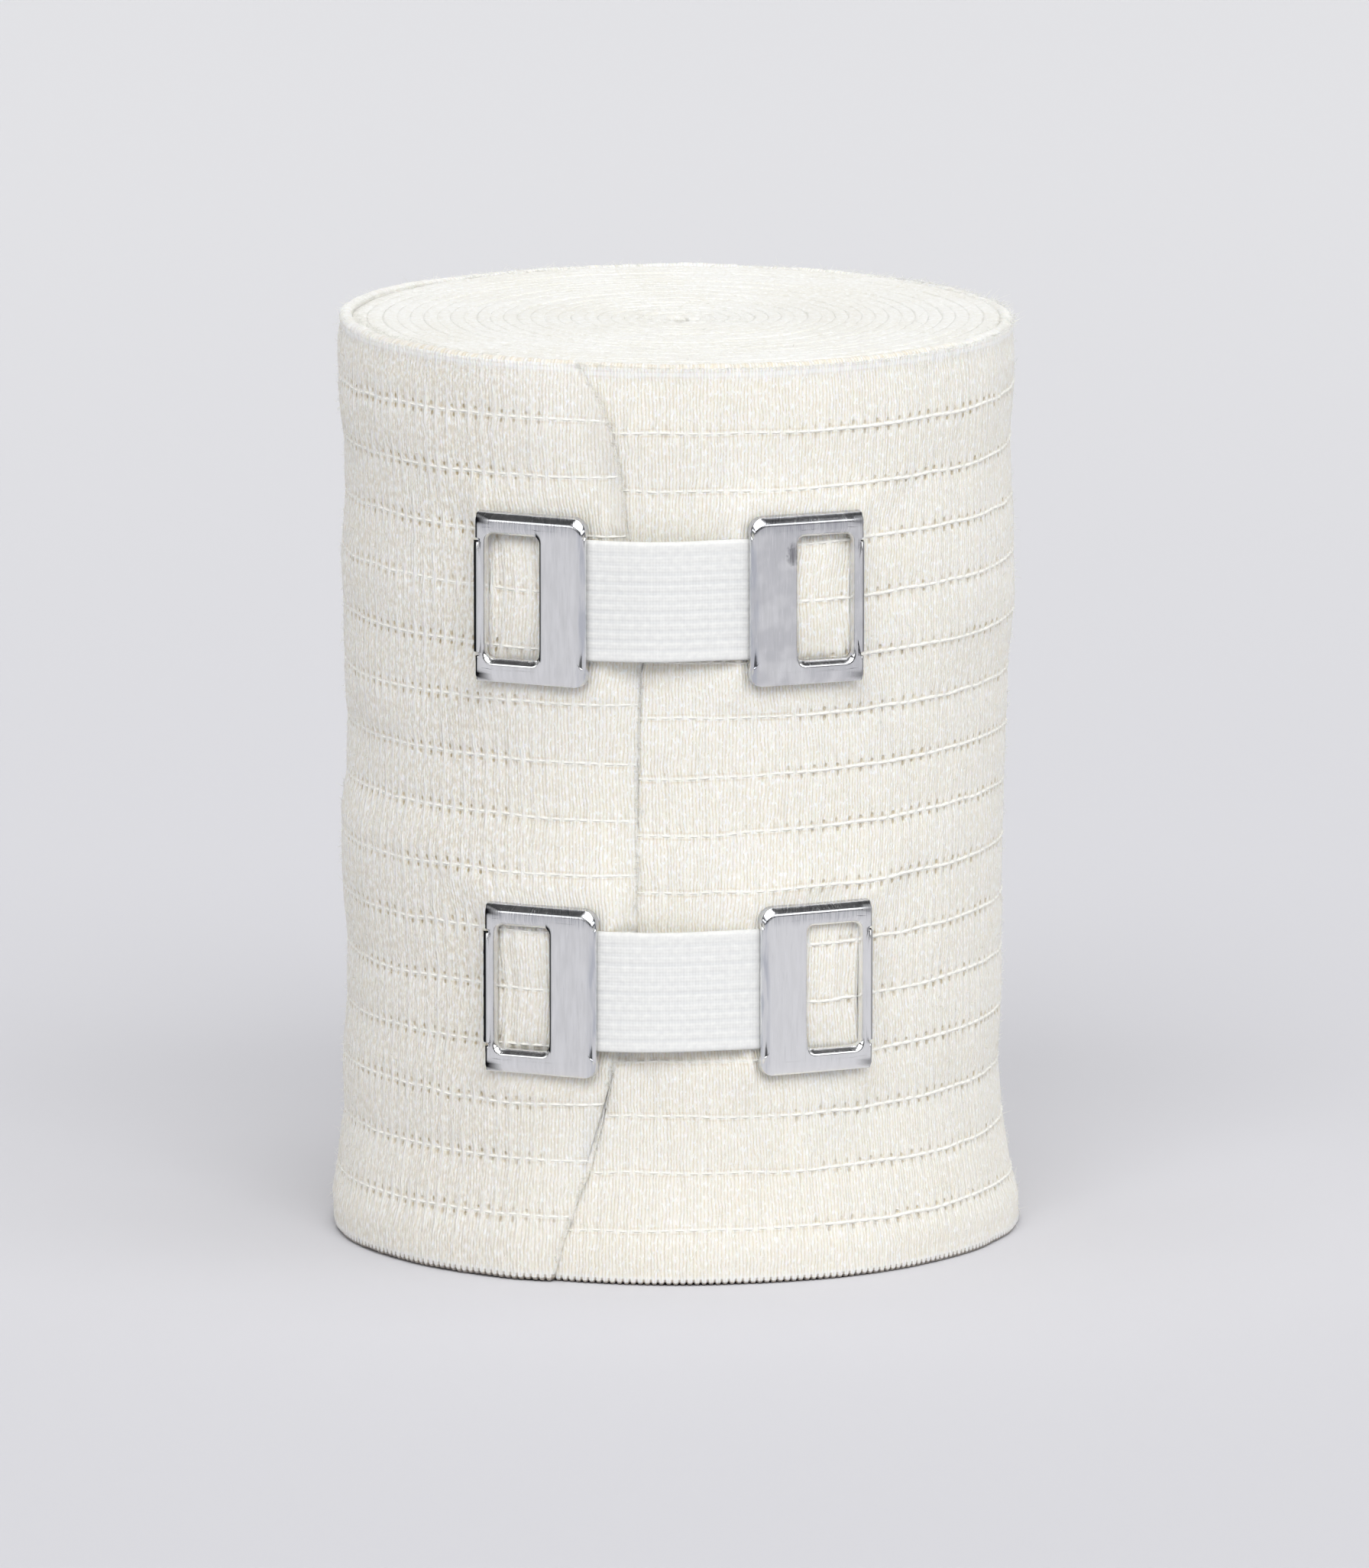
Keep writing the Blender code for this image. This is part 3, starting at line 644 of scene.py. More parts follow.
def metal_material():
    """Bright sheet metal: grain up the plate, scratches, painted reflections, and painted shade on the cut edges."""
    n = Nodes("bright_sheet")
    uv = n.add("ShaderNodeUVMap", uv_map="plate")
    split = n.add("ShaderNodeSeparateXYZ")
    n.link(uv.outputs[0], split.inputs[0])
    x, z = split.outputs[0], split.outputs[1]  # millimetres across and up
    number = n.add("ShaderNodeAttribute", attribute_name="which_plate").outputs["Fac"]
    shift = n.math("MULTIPLY", number, 37.0)
    grain = n.noise(n.vector(n.math("MULTIPLY", x, 9.0), n.math("MULTIPLY", z, 0.35), shift), 1.0, 3.0, 0.65)
    coarse = n.noise(n.vector(n.math("MULTIPLY", x, 1.6), n.math("MULTIPLY", z, 0.22), shift), 1.0, 2.0, 0.5)
    speck = n.noise(n.vector(x, z, shift), 2.6, 2.0, 0.6)
    patch = n.noise(n.vector(x, z, n.math("ADD", shift, 9.0)), 0.35, 2.0, 0.5)
    painted_dark_mask = n.add("ShaderNodeAttribute", attribute_name="painted_shade").outputs["Fac"]
    colour = n.mix(n.smooth(coarse, 0.3, 0.7), (0.78, 0.78, 0.782, 1.0), (0.87, 0.87, 0.872, 1.0))
    # Painted reflection: one plate is darker in patches and another brighter, for the different surroundings they
    # reflect.
    painted_dark_reflection = n.math("MULTIPLY", n.math("COMPARE", number, 1.0, 0.1), n.smooth(patch, 0.65, 0.40, 0.10, 0.55))
    colour = n.mix(painted_dark_reflection, colour, (0.56, 0.56, 0.585, 1.0))
    colour = n.mix(n.math("MULTIPLY", n.math("COMPARE", number, 3.0, 0.1), 0.45), colour, (0.93, 0.93, 0.93, 1.0))
    colour = n.mix(n.smooth(grain, 0.54, 0.72, 0.0, 0.7), colour, (0.95, 0.95, 0.955, 1.0))
    colour = n.mix(n.smooth(grain, 0.46, 0.26, 0.0, 0.45), colour, (0.54, 0.54, 0.555, 1.0))
    colour = n.mix(n.smooth(speck, 0.72, 0.78, 0.0, 0.7), colour, (0.95, 0.95, 0.95, 1.0))
    # One plate has a dark spot beside its window.
    wobble = n.math("MULTIPLY_ADD", speck, 1.2, -0.6)
    sx = n.math("DIVIDE", n.math("ADD", n.math("SUBTRACT", x, 8.25), wobble), 0.75)
    sz = n.math("DIVIDE", n.math("ADD", n.math("SUBTRACT", z, 5.1), wobble), 1.35)
    dark_spot = n.smooth(n.math("ADD", n.math("MULTIPLY", sx, sx), n.math("MULTIPLY", sz, sz)), 1.3, 0.1)
    dark_spot = n.math("MULTIPLY", dark_spot, n.math("COMPARE", number, 1.0, 0.1))
    dark_spot = n.math("MULTIPLY", dark_spot, n.smooth(grain, 0.30, 0.62, 0.35, 1.0))
    colour = n.mix(n.math("MULTIPLY", dark_spot, 0.75), colour, (0.10, 0.10, 0.115, 1.0))
    # Painted reflection: blue-grey streaks across the plate below the top rim.
    painted_reflection_streaks = n.math("MULTIPLY", n.smooth(n.math("ADD", z, n.math("MULTIPLY_ADD", coarse, 1.4, -0.7)), 6.9, 8.3),
                     n.smooth(grain, 0.62, 0.36, 0.15, 0.85))
    colour = n.mix(n.math("MULTIPLY", painted_reflection_streaks, 0.8), colour, (0.33, 0.34, 0.38, 1.0))
    # Painted reflection: a bluish band along the elastic's side.
    painted_side_reflection = n.math("MULTIPLY", n.smooth(x, 11.9, 12.6), n.smooth(coarse, 0.40, 0.62, 0.1, 0.7))
    colour = n.mix(painted_side_reflection, colour, (0.50, 0.52, 0.58, 1.0))
    # Painted shade and dark reflection: near black on the cut edges, the rims' feet, the window's walls and the
    # underside; these parts are rougher too.
    colour = n.mix(painted_dark_mask, colour, (0.012, 0.012, 0.014, 1.0))
    n.link(colour, n.shader.inputs["Base Color"])
    n.shader.inputs["Metallic"].default_value = 1.0
    rough = n.math("MULTIPLY_ADD", grain, 0.14, 0.06)
    rough = n.math("MULTIPLY_ADD", patch, 0.08, rough)
    rough = n.math("MAXIMUM", rough, n.math("MULTIPLY", painted_dark_mask, 0.85))
    n.link(rough, n.shader.inputs["Roughness"])
    height = n.math("MULTIPLY_ADD", speck, 0.25, grain)
    n.link(n.bump(height, 0.30, 0.00004), n.shader.inputs["Normal"])
    return n.mat


crepe = crepe_material("crepe_outer")
crepe_inner = top_material("crepe_inner")
thread = plain_thread("cotton_thread", (253, 251, 244))
fuzz_cotton = plain_thread("cotton_fuzz", (253, 252, 246))
elastic_white = elastic_material()
sheet_metal = metal_material()

# ---- The outer turn --------------------------------------------------------


def outer_turn():
    """One closed sheet: ribbed outside, rounded edges, plain inside."""
    start = -386.4
    totals = np.arange(start, -5.0, RIB_DEG / 3.0)
    totals = totals[totals < -6.0]
    rows = []  # kind, height along the cloth, angle round the edge
    for a in (150.0, 120.0, 90.0, 60.0, 30.0):
        rows.append(("low", 0.0, a))
    for v in (0.75, 1.7, 2.9):
        rows.append(("out", v, 0.0))
    for k in range(15):
        for off in (-1.4, -0.55, 0.0, 0.55, 1.4):
            rows.append(("out", LINE_FIRST + LINE_STEP * k + off, 0.0))
    for v in (95.6, 97.3, 98.3, 99.1):
        rows.append(("out", v, 0.0))
    for a in (30.0, 60.0, 90.0, 120.0, 150.0):
        rows.append(("high", WIDTH, a))
    for v in (99.0, 92.0, 72.0, 50.0, 28.0, 8.0, 0.8):
        rows.append(("in", v, 0.0))

    def point(row, total):
        """Radius, angle and height of a row at total angles."""
        kind, v, a = row
        total = np.asarray(total, float)
        turns = turns_at(total)
        if kind == "out":
            return surface(total, np.full_like(total, v))
        phi = (total + 180.0) % 360.0 - 180.0
        loose = (total > -90)
        from_edge = (edge_at(np.full_like(total, v)) - total) * ARC
        lift = np.interp(v, [0, 8, 16, 26, 78, 86, 91, 96, 99.9], [0.02, 0.03, 0.0, 0.0, 0.0, 0.14, 0.22, 0.14, 0.02])
        lift = loose * lift * np.exp(-((from_edge / 4.5) ** 2))
        if kind == "in":
            z = v + row_shift(turns, np.full_like(total, v))
            sunk = loose * np.exp(-((from_edge / 7.0) ** 2))
            low = inner_wall(turns, phi, z) + clip_relief(phi, z) + lift + 0.05 - 0.17 * sunk + slow_relief(total, z, sunk) * sunk
            return low, total + clip_pull(phi, z) / ARC, z
        # The rounded selvedge joins the outside to the inside.
        top = kind == "high"
        v_out = 99.1 if top else 0.75
        v_in = 99.0 if top else 0.8
        r1, p1, z1 = surface(total, np.full_like(total, v_out))
        z0 = v_in + row_shift(turns, np.full_like(total, v_in))
        r0 = inner_wall(turns, phi, z0) + lift + 0.02
        if top:
            r0 = (inner_wall(turns, phi, z0) + outer_wall(turns + 1.0, phi, z0)) / 2 - 0.04 + lift
        r0 = r0 - 0.06 * loose * np.exp(-((from_edge / 7.0) ** 2))
        end = (WIDTH if top else 0.0) + row_shift(turns, np.full_like(total, v))
        rib = -total / RIB_DEG
        end = end + 0.07 * noise(rib * 0.9, 5.0 + top, 31) + 0.07 * noise(total * ARC / 5.0, 8.0 + top, 32)
        c, s = math.cos(math.radians(a)), math.sin(math.radians(a))
        middle = (r1 + r0) / 2
        half = (r1 - r0) / 2
        if top:
            radius = middle + half * np.sign(c) * abs(c) ** 0.9
            return radius, p1, z1 + (end - z1) * s ** 0.9
        # The lower selvedge is a row of small beads that stand on the floor.
        bead = np.where(np.cos(2 * math.pi * rib) > 0.5, 0.30, 0.03 + 0.05 * noise(rib * 0.7, 3.3, 33))
        end = np.maximum(end, 0.0) * 0.6 + np.maximum(bead, 0.02)
        radius = middle + half * np.sign(c) * abs(c) ** 0.45
        return radius, p1, z1 - (z1 - end) * s ** 0.8

    fray = np.random.default_rng(5)
    points, uvs, holes, end_shades = [], [], [], []
    ids, ends = [], []  # point numbers of each row, and of its cut end
    row_v = []
    for row in rows:
        kind, v, a = row
        edge = float(edge_at(v)) + fray.uniform(-0.22, 0.22)
        keep = totals[totals < edge - 0.2]
        line = np.append(keep, edge)
        r, p, z = point(row, line)
        first = len(points)
        points.extend(place(r, p, z))
        face_v = {"out": v, "in": v, "low": -0.2 * math.sin(math.radians(a)), "high": WIDTH + 0.2 * math.sin(math.radians(a))}[kind]
        uvs.extend(zip(-line / RIB_DEG, np.full(len(line), (face_v - LINE_FIRST) / LINE_STEP)))
        k = round((v - LINE_FIRST) / LINE_STEP)
        open_ = hole_strength(line, float(k)) if kind == "out" and 0 <= k <= 14 else np.zeros(len(line))
        holes.extend(open_)
        # Painted shade near the cut end, most high up where the end lifts.
        end_shade = np.interp(v, [0, 55, 70, 84, 92, 97, 99.9], [0.15, 0.1, 0.35, 0.9, 1.0, 0.7, 0.3])
        end_shades.extend((line > -90) * end_shade * np.exp(-(((edge - line) * ARC / 2.6) ** 2)))
        ids.append(np.arange(first, first + len(keep)))
        ends.append(first + len(keep))
        row_v.append(v)

    faces = []
    count = len(rows)
    extra = {}  # more points of the cut along the inside
    for j in range(count):
        a, b = ids[j], ids[(j + 1) % count]
        m = min(len(a), len(b))
        quads = np.stack([a[: m - 1], a[1:m], b[1:m], b[: m - 1]], axis=-1)
        faces.extend(tuple(int(i) for i in q) for q in quads)
        tail_a = [int(i) for i in a[m - 1:]] + [ends[j]]
        tail_b = [int(i) for i in b[m - 1:]] + [ends[(j + 1) % count]]
        between = []
        if rows[j][0] == "in" and rows[(j + 1) % count][0] == "in":
            v0, v1 = rows[j][1], rows[(j + 1) % count][1]
            for v in np.linspace(v0, v1, 2 + int(abs(v1 - v0) / 2.2))[1:-1]:
                edge = np.array([float(edge_at(v))])
                r, p, z = point(("in", float(v), 0.0), edge)
                between.append(len(points))
                points.extend(place(r, p, z))
                uvs.append((-edge[0] / RIB_DEG, (v - LINE_FIRST) / LINE_STEP))
                holes.append(0.0)
                end_shades.append(0.5)
        extra[j] = between
        loop = tail_a + between + tail_b[::-1]
        flat = [(uvs[i][0] * -RIB_DEG * ARC, uvs[i][1] * LINE_STEP if rows[j][0] == "in" else 0.0) for i in loop]
        if rows[j][0] != "in":
            # Two neighbouring rows: march along both tails.
            i0, i1 = 0, 0
            while i0 < len(tail_a) - 1 or i1 < len(tail_b) - 1:
                go_a = i1 == len(tail_b) - 1 or (
                    i0 < len(tail_a) - 1 and -uvs[tail_a[i0 + 1]][0] <= -uvs[tail_b[i1 + 1]][0]
                )
                if go_a:
                    faces.append((tail_a[i0], tail_a[i0 + 1], tail_b[i1]))
                    i0 += 1
                else:
                    faces.append((tail_a[i0], tail_b[i1 + 1], tail_b[i1]))
                    i1 += 1
        else:
            if rows[(j + 1) % count][0] != "in":
                flat = [(f[0], 1.0 if i in tail_a else 0.0) for f, i in zip(flat, loop)]
            faces.extend(cap(flat, loop))
    # The cut itself, filled between its outer and inner points.
    outer_side = [ends[j] for j in range(count) if rows[j][0] != "in"]
    inner_side = []
    first_in = [j for j in range(count) if rows[j][0] == "in"]
    for j in first_in:
        inner_side.append(ends[j])
        inner_side.extend(extra[j])
    inner_side = inner_side[::-1]  # bottom to top
    heights = lambda i: points[i][2]
    i0, i1 = 0, 0
    while i0 < len(outer_side) - 1 or i1 < len(inner_side) - 1:
        go_outer = i1 == len(inner_side) - 1 or (
            i0 < len(outer_side) - 1 and heights(outer_side[i0 + 1]) <= heights(inner_side[i1 + 1])
        )
        if go_outer:
            faces.append((outer_side[i0], inner_side[i1], outer_side[i0 + 1]))
            i0 += 1
        else:
            faces.append((outer_side[i0], inner_side[i1], inner_side[i1 + 1]))
            i1 += 1
    # The hidden start, under the loose end.
    loop = [int(ids[j][0]) for j in range(count)]
    outer = [i for j, i in enumerate(loop) if rows[j][0] != "in"]
    inner = [i for j, i in enumerate(loop) if rows[j][0] == "in"][::-1]
    i0, i1 = 0, 0
    while i0 < len(outer) - 1 or i1 < len(inner) - 1:
        if i1 == len(inner) - 1 or (i0 < len(outer) - 1 and heights(outer[i0 + 1]) <= heights(inner[i1 + 1])):
            faces.append((outer[i0], outer[i0 + 1], inner[i1]))
            i0 += 1
        else:
            faces.append((outer[i0], inner[i1 + 1], inner[i1]))
            i1 += 1

    piece = new_piece("bandage_outer_turn", points, faces, crepe, ["bandage_roll"])
    layer = piece.data.uv_layers.new(name="weave")
    corner = np.zeros(len(piece.data.loops), dtype=np.int32)
    piece.data.loops.foreach_get("vertex_index", corner)
    layer.data.foreach_set("uv", np.array(uvs)[corner].astype(np.float32).ravel())
    attribute = piece.data.attributes.new("hole", "FLOAT", "POINT")
    attribute.data.foreach_set("value", np.array(holes, dtype=np.float32))
    attribute = piece.data.attributes.new("end_shade", "FLOAT", "POINT")
    attribute.data.foreach_set("value", np.array(end_shades, dtype=np.float32))
    fluffy = fuzziness(np.array([uv[0] for uv in uvs]) * -RIB_DEG)
    attribute = piece.data.attributes.new("fluff", "FLOAT", "POINT")
    attribute.data.foreach_set("value", fluffy.astype(np.float32))
    return piece


# ---- The turns inside ------------------------------------------------------


def inner_turns():
    """The rest of the strip, seen by its edges and in the core."""
    stations = []
    total = -386.55
    last = END_PHI - 360.0 * (END_RADIUS - CORE_RADIUS) / PITCH
    while total > last:
        stations.append(total)
        radius = max(float(outer_wall(turns_at(np.array(total)), 0.0, 50.0)), 2.0)
        total -= 0.56 / radius * 180.0 / math.pi
    stations = np.array(stations)
    turns = turns_at(stations)
    phi = (stations + 180.0) % 360.0 - 180.0
    along = np.concatenate([[0.0], np.cumsum(np.full(len(stations) - 1, 0.56))])
    body = [0.8, 18.0, 50.0, 78.0, 99.1]
    per_turn = noise(turns * 1.0, 3.3, 41) * 0.03 + noise(stations / 40.0, turns * 0.3, 42) * 0.08
    lump = noise(along / 0.75, 1.5, 44) * 0.05 + noise(along / 2.6, 2.5, 45) * 0.05
    sway = noise(stations / 35.0, turns * 0.25, 47) * 0.06

    def wall(v, which):
        z = v + per_turn * (v > 60)
        fn = outer_wall if which == "out" else inner_wall
        return fn(turns, phi, z), z

    rings = []
    rise = np.interp(turns, CREEP[:, 0], CREEP[:, 1])
    top = WIDTH + per_turn + lump
    # Towards the core the turns stand a little lower and looser.
    top -= 0.25 * step(16.0, 23.7, turns)
    low = 0.06 + 0.06 * (noise(along / 3.0, 4.4, 48) + 1)
    # Near their tops the turns widen until they touch.
    r1, z1 = wall(99.1, "out")
    r0, _ = wall(99.1, "in")
    out_half = (inner_wall(turns - 1.0, phi, z1) - r1) / 2 + 0.04
    in_half = (r0 - outer_wall(turns + 1.0, phi, z1)) / 2 + 0.04
    for v in body:
        r, z = wall(v, "out")
        rings.append((r + (sway if v > 60 else 0.0) + (out_half if v > 98 else 0.0), z))
    # The soft tops are broad and shallow, and nearly touch their neighbours.
    for share, drop in ((1.0, 0.08), (0.66, 0.02), (0.0, 0.0), (-0.66, 0.02), (-1.0, 0.08)):
        middle = (r1 + out_half + r0 - in_half) / 2 + sway
        half = (r1 + out_half - r0 + in_half) / 2
        rings.append((middle + half * share, top - drop))
    for v in body[::-1]:
        r, z = wall(v, "in")
        rings.append((r + (sway if v > 60 else 0.0) - (in_half if v > 98 else 0.0), z))
    for a in (120.0, 90.0, 60.0):
        r1, z1 = wall(0.8, "out")
        r0, _ = wall(0.8, "in")
        c, s = math.cos(math.radians(a)), math.sin(math.radians(a))
        rings.append(((r1 + r0) / 2 + (r1 - r0) / 2 * c, z1 - (z1 - low) * s))
    count, n = len(rings), len(stations)
    # Only the outer few turns need their full side; inside them it is plain.
    shaped = int(np.searchsorted(turns, 3.1))
    plain = [i for i in range(count) if not (i in (1, 2, 3) or i in (11, 12, 13))]
    used = np.zeros((count, n), bool)
    used[:, :shaped] = True
    used[plain, shaped:] = True
    number = np.cumsum(used.ravel()).reshape(used.shape) - 1
    total_points = int(used.sum())
    points = np.zeros((total_points, 3))
    uvs = np.zeros((total_points, 2))
    heights = body + [WIDTH] * 5 + body[::-1] + [0.0] * 3
    for j, (r, z) in enumerate(rings):
        r, z = np.broadcast_to(r, (n,)), np.broadcast_to(z, (n,))
        pts = place(r, stations, z)
        keep = used[j]
        points[number[j][keep]] = pts[keep]
        side = (0.1, 0.4, 0.8, 1.2, 1.5)[j - 5] / 4 if 5 <= j < 10 else 0.0
        uvs[number[j][keep], 0] = along[keep] / 0.76
        uvs[number[j][keep], 1] = (heights[j] + side * 4 - LINE_FIRST) / LINE_STEP
    faces = grid_faces(number[:, :shaped])
    faces += grid_faces(number[plain][:, shaped:])
    a, b = shaped - 1, shaped
    for i in range(len(plain)):
        j0, j1 = plain[i], plain[(i + 1) % len(plain)]
        span = [j % count for j in range(j0, j1 + 1 if j1 > j0 else count + 1)]
        faces.append(tuple(int(number[j, a]) for j in span[::-1]) + tuple(int(number[j, b]) for j in (j0, j1)))
    first = [int(number[j, 0]) for j in range(count)]
    outer, inner = first[:10], first[10:][::-1]
    end = [int(number[j, n - 1]) for j in plain]
    section = lambda ids, at: [(math.hypot(points[i][0] - AXIS_X * MM, points[i][1] - AXIS_Y * MM), points[i][2]) for i in ids]
    faces += cap(section(first, 0), first)
    faces += cap(section(end, n - 1), end, flip=True)
    piece = new_piece("bandage_inner_turns", points, faces, crepe_inner, ["bandage_roll"])
    layer = piece.data.uv_layers.new(name="weave")
    corner = np.zeros(len(piece.data.loops), dtype=np.int32)
    piece.data.loops.foreach_get("vertex_index", corner)
    layer.data.foreach_set("uv", uvs[corner].astype(np.float32).ravel())
    return piece, float(along[-1])


# ---- Threads and fuzz ------------------------------------------------------


def tubes(name, paths, radii, sides, material, nodes):
    """Closed tubes. paths is strands by points by 3, in metres; radii likewise."""
    strands, steps, _ = paths.shape
    along = np.gradient(paths, axis=1)
    along /= np.linalg.norm(along, axis=2, keepdims=True) + 1e-12
    side = np.cross(along, np.array([0.0, 0.0, 1.0]))
    weak = np.linalg.norm(side, axis=2, keepdims=True) < 1e-3
    side = np.where(weak, np.cross(along, np.array([1.0, 0.0, 0.0])), side)
    side /= np.linalg.norm(side, axis=2, keepdims=True) + 1e-12
    other = np.cross(along, side)
    ring = []
    for i in range(sides):
        a = 2 * math.pi * i / sides
        ring.append(paths + (side * math.cos(a) + other * math.sin(a)) * radii[..., None])
    points = np.stack(ring, axis=2).reshape(-1, 3)
    ids = np.arange(len(points)).reshape(strands, steps, sides)
    a = ids[:, :-1, :]
    b = ids[:, 1:, :]
    quads = np.stack([a, np.roll(a, -1, axis=2), np.roll(b, -1, axis=2), b], axis=-1).reshape(-1, 4)
    faces = [tuple(q) for q in quads.tolist()]
    faces += [tuple(q) for q in ids[:, 0, ::-1].tolist()]
    faces += [tuple(q) for q in ids[:, -1, :].tolist()]
    return new_piece(name, points, faces, material, nodes)


def warp_threads():
    """The lengthwise threads, over and under the ribs."""
    pieces_points, pieces_radii = [], []
    count = 620
    for k in range(15):
        v = LINE_FIRST + LINE_STEP * k
        edge = float(edge_at(v)) - 0.5
        totals = np.linspace(-382.0, edge, count)
        rib = -totals / RIB_DEG
        wave = 0.5 + 0.5 * np.cos(math.pi * rib)  # 1 between a pair of holes
        out = -0.03 + 0.10 * wave + 0.04 * noise(rib * 0.7, k * 2.3 + 0.5, 51)
        # The ribs' own relief is left out of the thread's path.
        r, p, z = surface(totals, np.full(count, v), out=0.0, weave=0.0)
        close = (totals > -90) * np.exp(-(((edge_at(v) - totals) * ARC / 7.0) ** 2))
        r = r - 0.105 * drawn_in((totals + 180.0) % 360.0 - 180.0, turns_at(totals)) + slow_relief(totals, z, close) + out
        fluffy = fuzziness(totals)
        side = (totals + 180.0) % 360.0 - 180.0
        bold = np.where(totals < -200, step(14, 34, side), 0.3)
        r = r - 0.05 * fluffy - 0.03 * (1 - bold) + fluffy * 0.06 * noise(rib * 0.5, k * 5.1, 53)
        pieces_points.append(place(r, p, z))
        pieces_radii.append((0.105 + 0.095 * bold + 0.025 * noise(rib * 0.5, k * 1.7 + 9.5, 52)) * MM)
    return tubes("bandage_warp_threads", np.array(pieces_points), np.array(pieces_radii), 4, thread, ["bandage_roll"])


def fuzz():
    """Short cotton fibres standing off the outside and the top."""
    rng = np.random.default_rng(77)
    made = []
    # Outside
    count = 14000
    total = rng.uniform(-379.0, -8.0, count)
    v = rng.uniform(0.6, 99.4, count)
    hidden = (total > edge_at(v)) | ((total < -360.0 + edge_at(v)) & (total < -366))
    phi = (total + 180.0) % 360.0 - 180.0
    z0 = v
    for zc, pc, sign in plate_frames():
        hidden |= (np.abs(phi - pc) * ARC < 6.9) & (np.abs(z0 + 1.0 - zc) < 10.8)
    for clip in CLIPS:
        hidden |= (phi > clip["left"]) & (phi < clip["right"]) & (np.abs(z0 + 1.0 - clip["z"]) < 8.5)
    total, v = total[~hidden], v[~hidden]
    # Loose fibres all along the cut end, most of them lying across it.
    frayed = 900
    v_cut = rng.uniform(0.5, 99.5, frayed)
    covered = np.zeros(frayed, bool)
    for clip in CLIPS:
        covered |= np.abs(v_cut + 1.0 - clip["z"]) < 8.0
    v_cut = v_cut[~covered]
    frayed = len(v_cut)
    total = np.append(total, edge_at(v_cut) - rng.uniform(0.1, 0.9, frayed))
    v = np.append(v, v_cut)
    count = len(total)
    length = rng.gamma(3.0, 0.17, count)
    turn = rng.uniform(0, 2 * math.pi, count)
    lean = rng.uniform(0.3, 1.5, count)
    bend = rng.uniform(-1.2, 1.2, count)
    turn[-frayed:] = rng.normal(0.0, 0.5, frayed)
    lean[-frayed:] = rng.uniform(2.5, 5.0, frayed)
    length[-frayed:] = rng.uniform(0.12, 0.30, frayed)
    paths = []
    for share in (0.0, 0.5, 1.0):
        out = -0.05 + length * share * (1.0 - 0.35 * share * np.abs(bend)) / (1 + 0.5 * lean)
        go = length * lean * share
        direction = turn + bend * share
        t = total + go * np.cos(direction) / ARC
        up = v + go * np.sin(direction)
        r, p, z = surface(total, v, out=0.0)
        paths.append(place(r + out, p + (t - total), np.maximum(z + (up - v), 0.03)))
    paths = np.stack(paths, axis=1)
    radii = np.stack([np.full(count, 0.022), np.full(count, 0.018), np.full(count, 0.008)], axis=1) * MM
    side = tubes("bandage_fuzz_side", paths, radii, 3, fuzz_cotton, ["bandage_roll"])
    # Top, thickest along the rim
    count = 14000
    radius = np.sqrt(rng.uniform(2.5 ** 2, 36.4 ** 2, count))
    radius[:4000] = rng.uniform(34.6, 36.5, 4000)
    phi = rng.uniform(-180, 180, count)
    length = rng.gamma(3.0, 0.12, count)
    length[:4000] *= 1.5
    turn = rng.uniform(0, 2 * math.pi, count)
    lean = rng.uniform(0.5, 2.2, count)
    rise = 0.7 * np.exp(-(((phi + 70) / 60.0) ** 2)) * (radius > 34.9)
    paths = []
    for share in (0.0, 0.5, 1.0):
        go = length * lean * share
        z = 99.70 + rise + length * share / (1 + 0.8 * lean)
        r = radius + go * np.cos(turn)
        p = phi + np.degrees(go * np.sin(turn) / radius)
        paths.append(place(r, p, z))
    paths = np.stack(paths, axis=1)
    radii = np.stack([np.full(count, 0.022), np.full(count, 0.018), np.full(count, 0.008)], axis=1) * MM
    top = tubes("bandage_fuzz_top", paths, radii, 3, fuzz_cotton, ["bandage_roll"])
    return side, top


# ---- Clip plates -----------------------------------------------------------


def cloth_radius(phi, z):
    """Radius of the outermost cloth at an angle in front, as in the CAD part."""
    turns = turns_at(phi) + (0.0 if phi <= CAD_EDGE(z) else 1.0)
    return float(CAD_WALL(turns, phi, z))


CAD_PROFILE = np.array([
    (0.0, 36.9, 36.9), (3.2, 37.7, 37.3), (8.0, 36.8, 36.3), (17.0, 36.1, 35.2),
    (50.0, 35.7, 35.5), (72.0, 36.4, 36.6), (92.0, 36.7, 36.6), (99.9, 36.5, 36.5),
])
CAD_LOOSE = np.array([
    (0.0, -21.4), (3.2, -19.6), (8.0, -17.0), (17.0, -13.4), (50.0, -7.4),
    (72.0, -7.8), (92.0, -11.8), (99.9, -18.0),
])


def CAD_EDGE(z):
    return float(np.interp(z, CAD_LOOSE[:, 0], CAD_LOOSE[:, 1]))


def CAD_WALL(turns, phi, z):
    left = np.interp(z, CAD_PROFILE[:, 0], CAD_PROFILE[:, 1])
    right = np.interp(z, CAD_PROFILE[:, 0], CAD_PROFILE[:, 2])
    shaped = min(1.0, max(0.0, 1.0 - (turns - 1.0) / (SHAPED_TURNS - 1.0)))
    return END_RADIUS - PITCH * turns + shaped * (
        (left + right) / 2 + math.sin(math.radians(phi)) * (right - left) / 2 - EVEN_RADIUS
    )


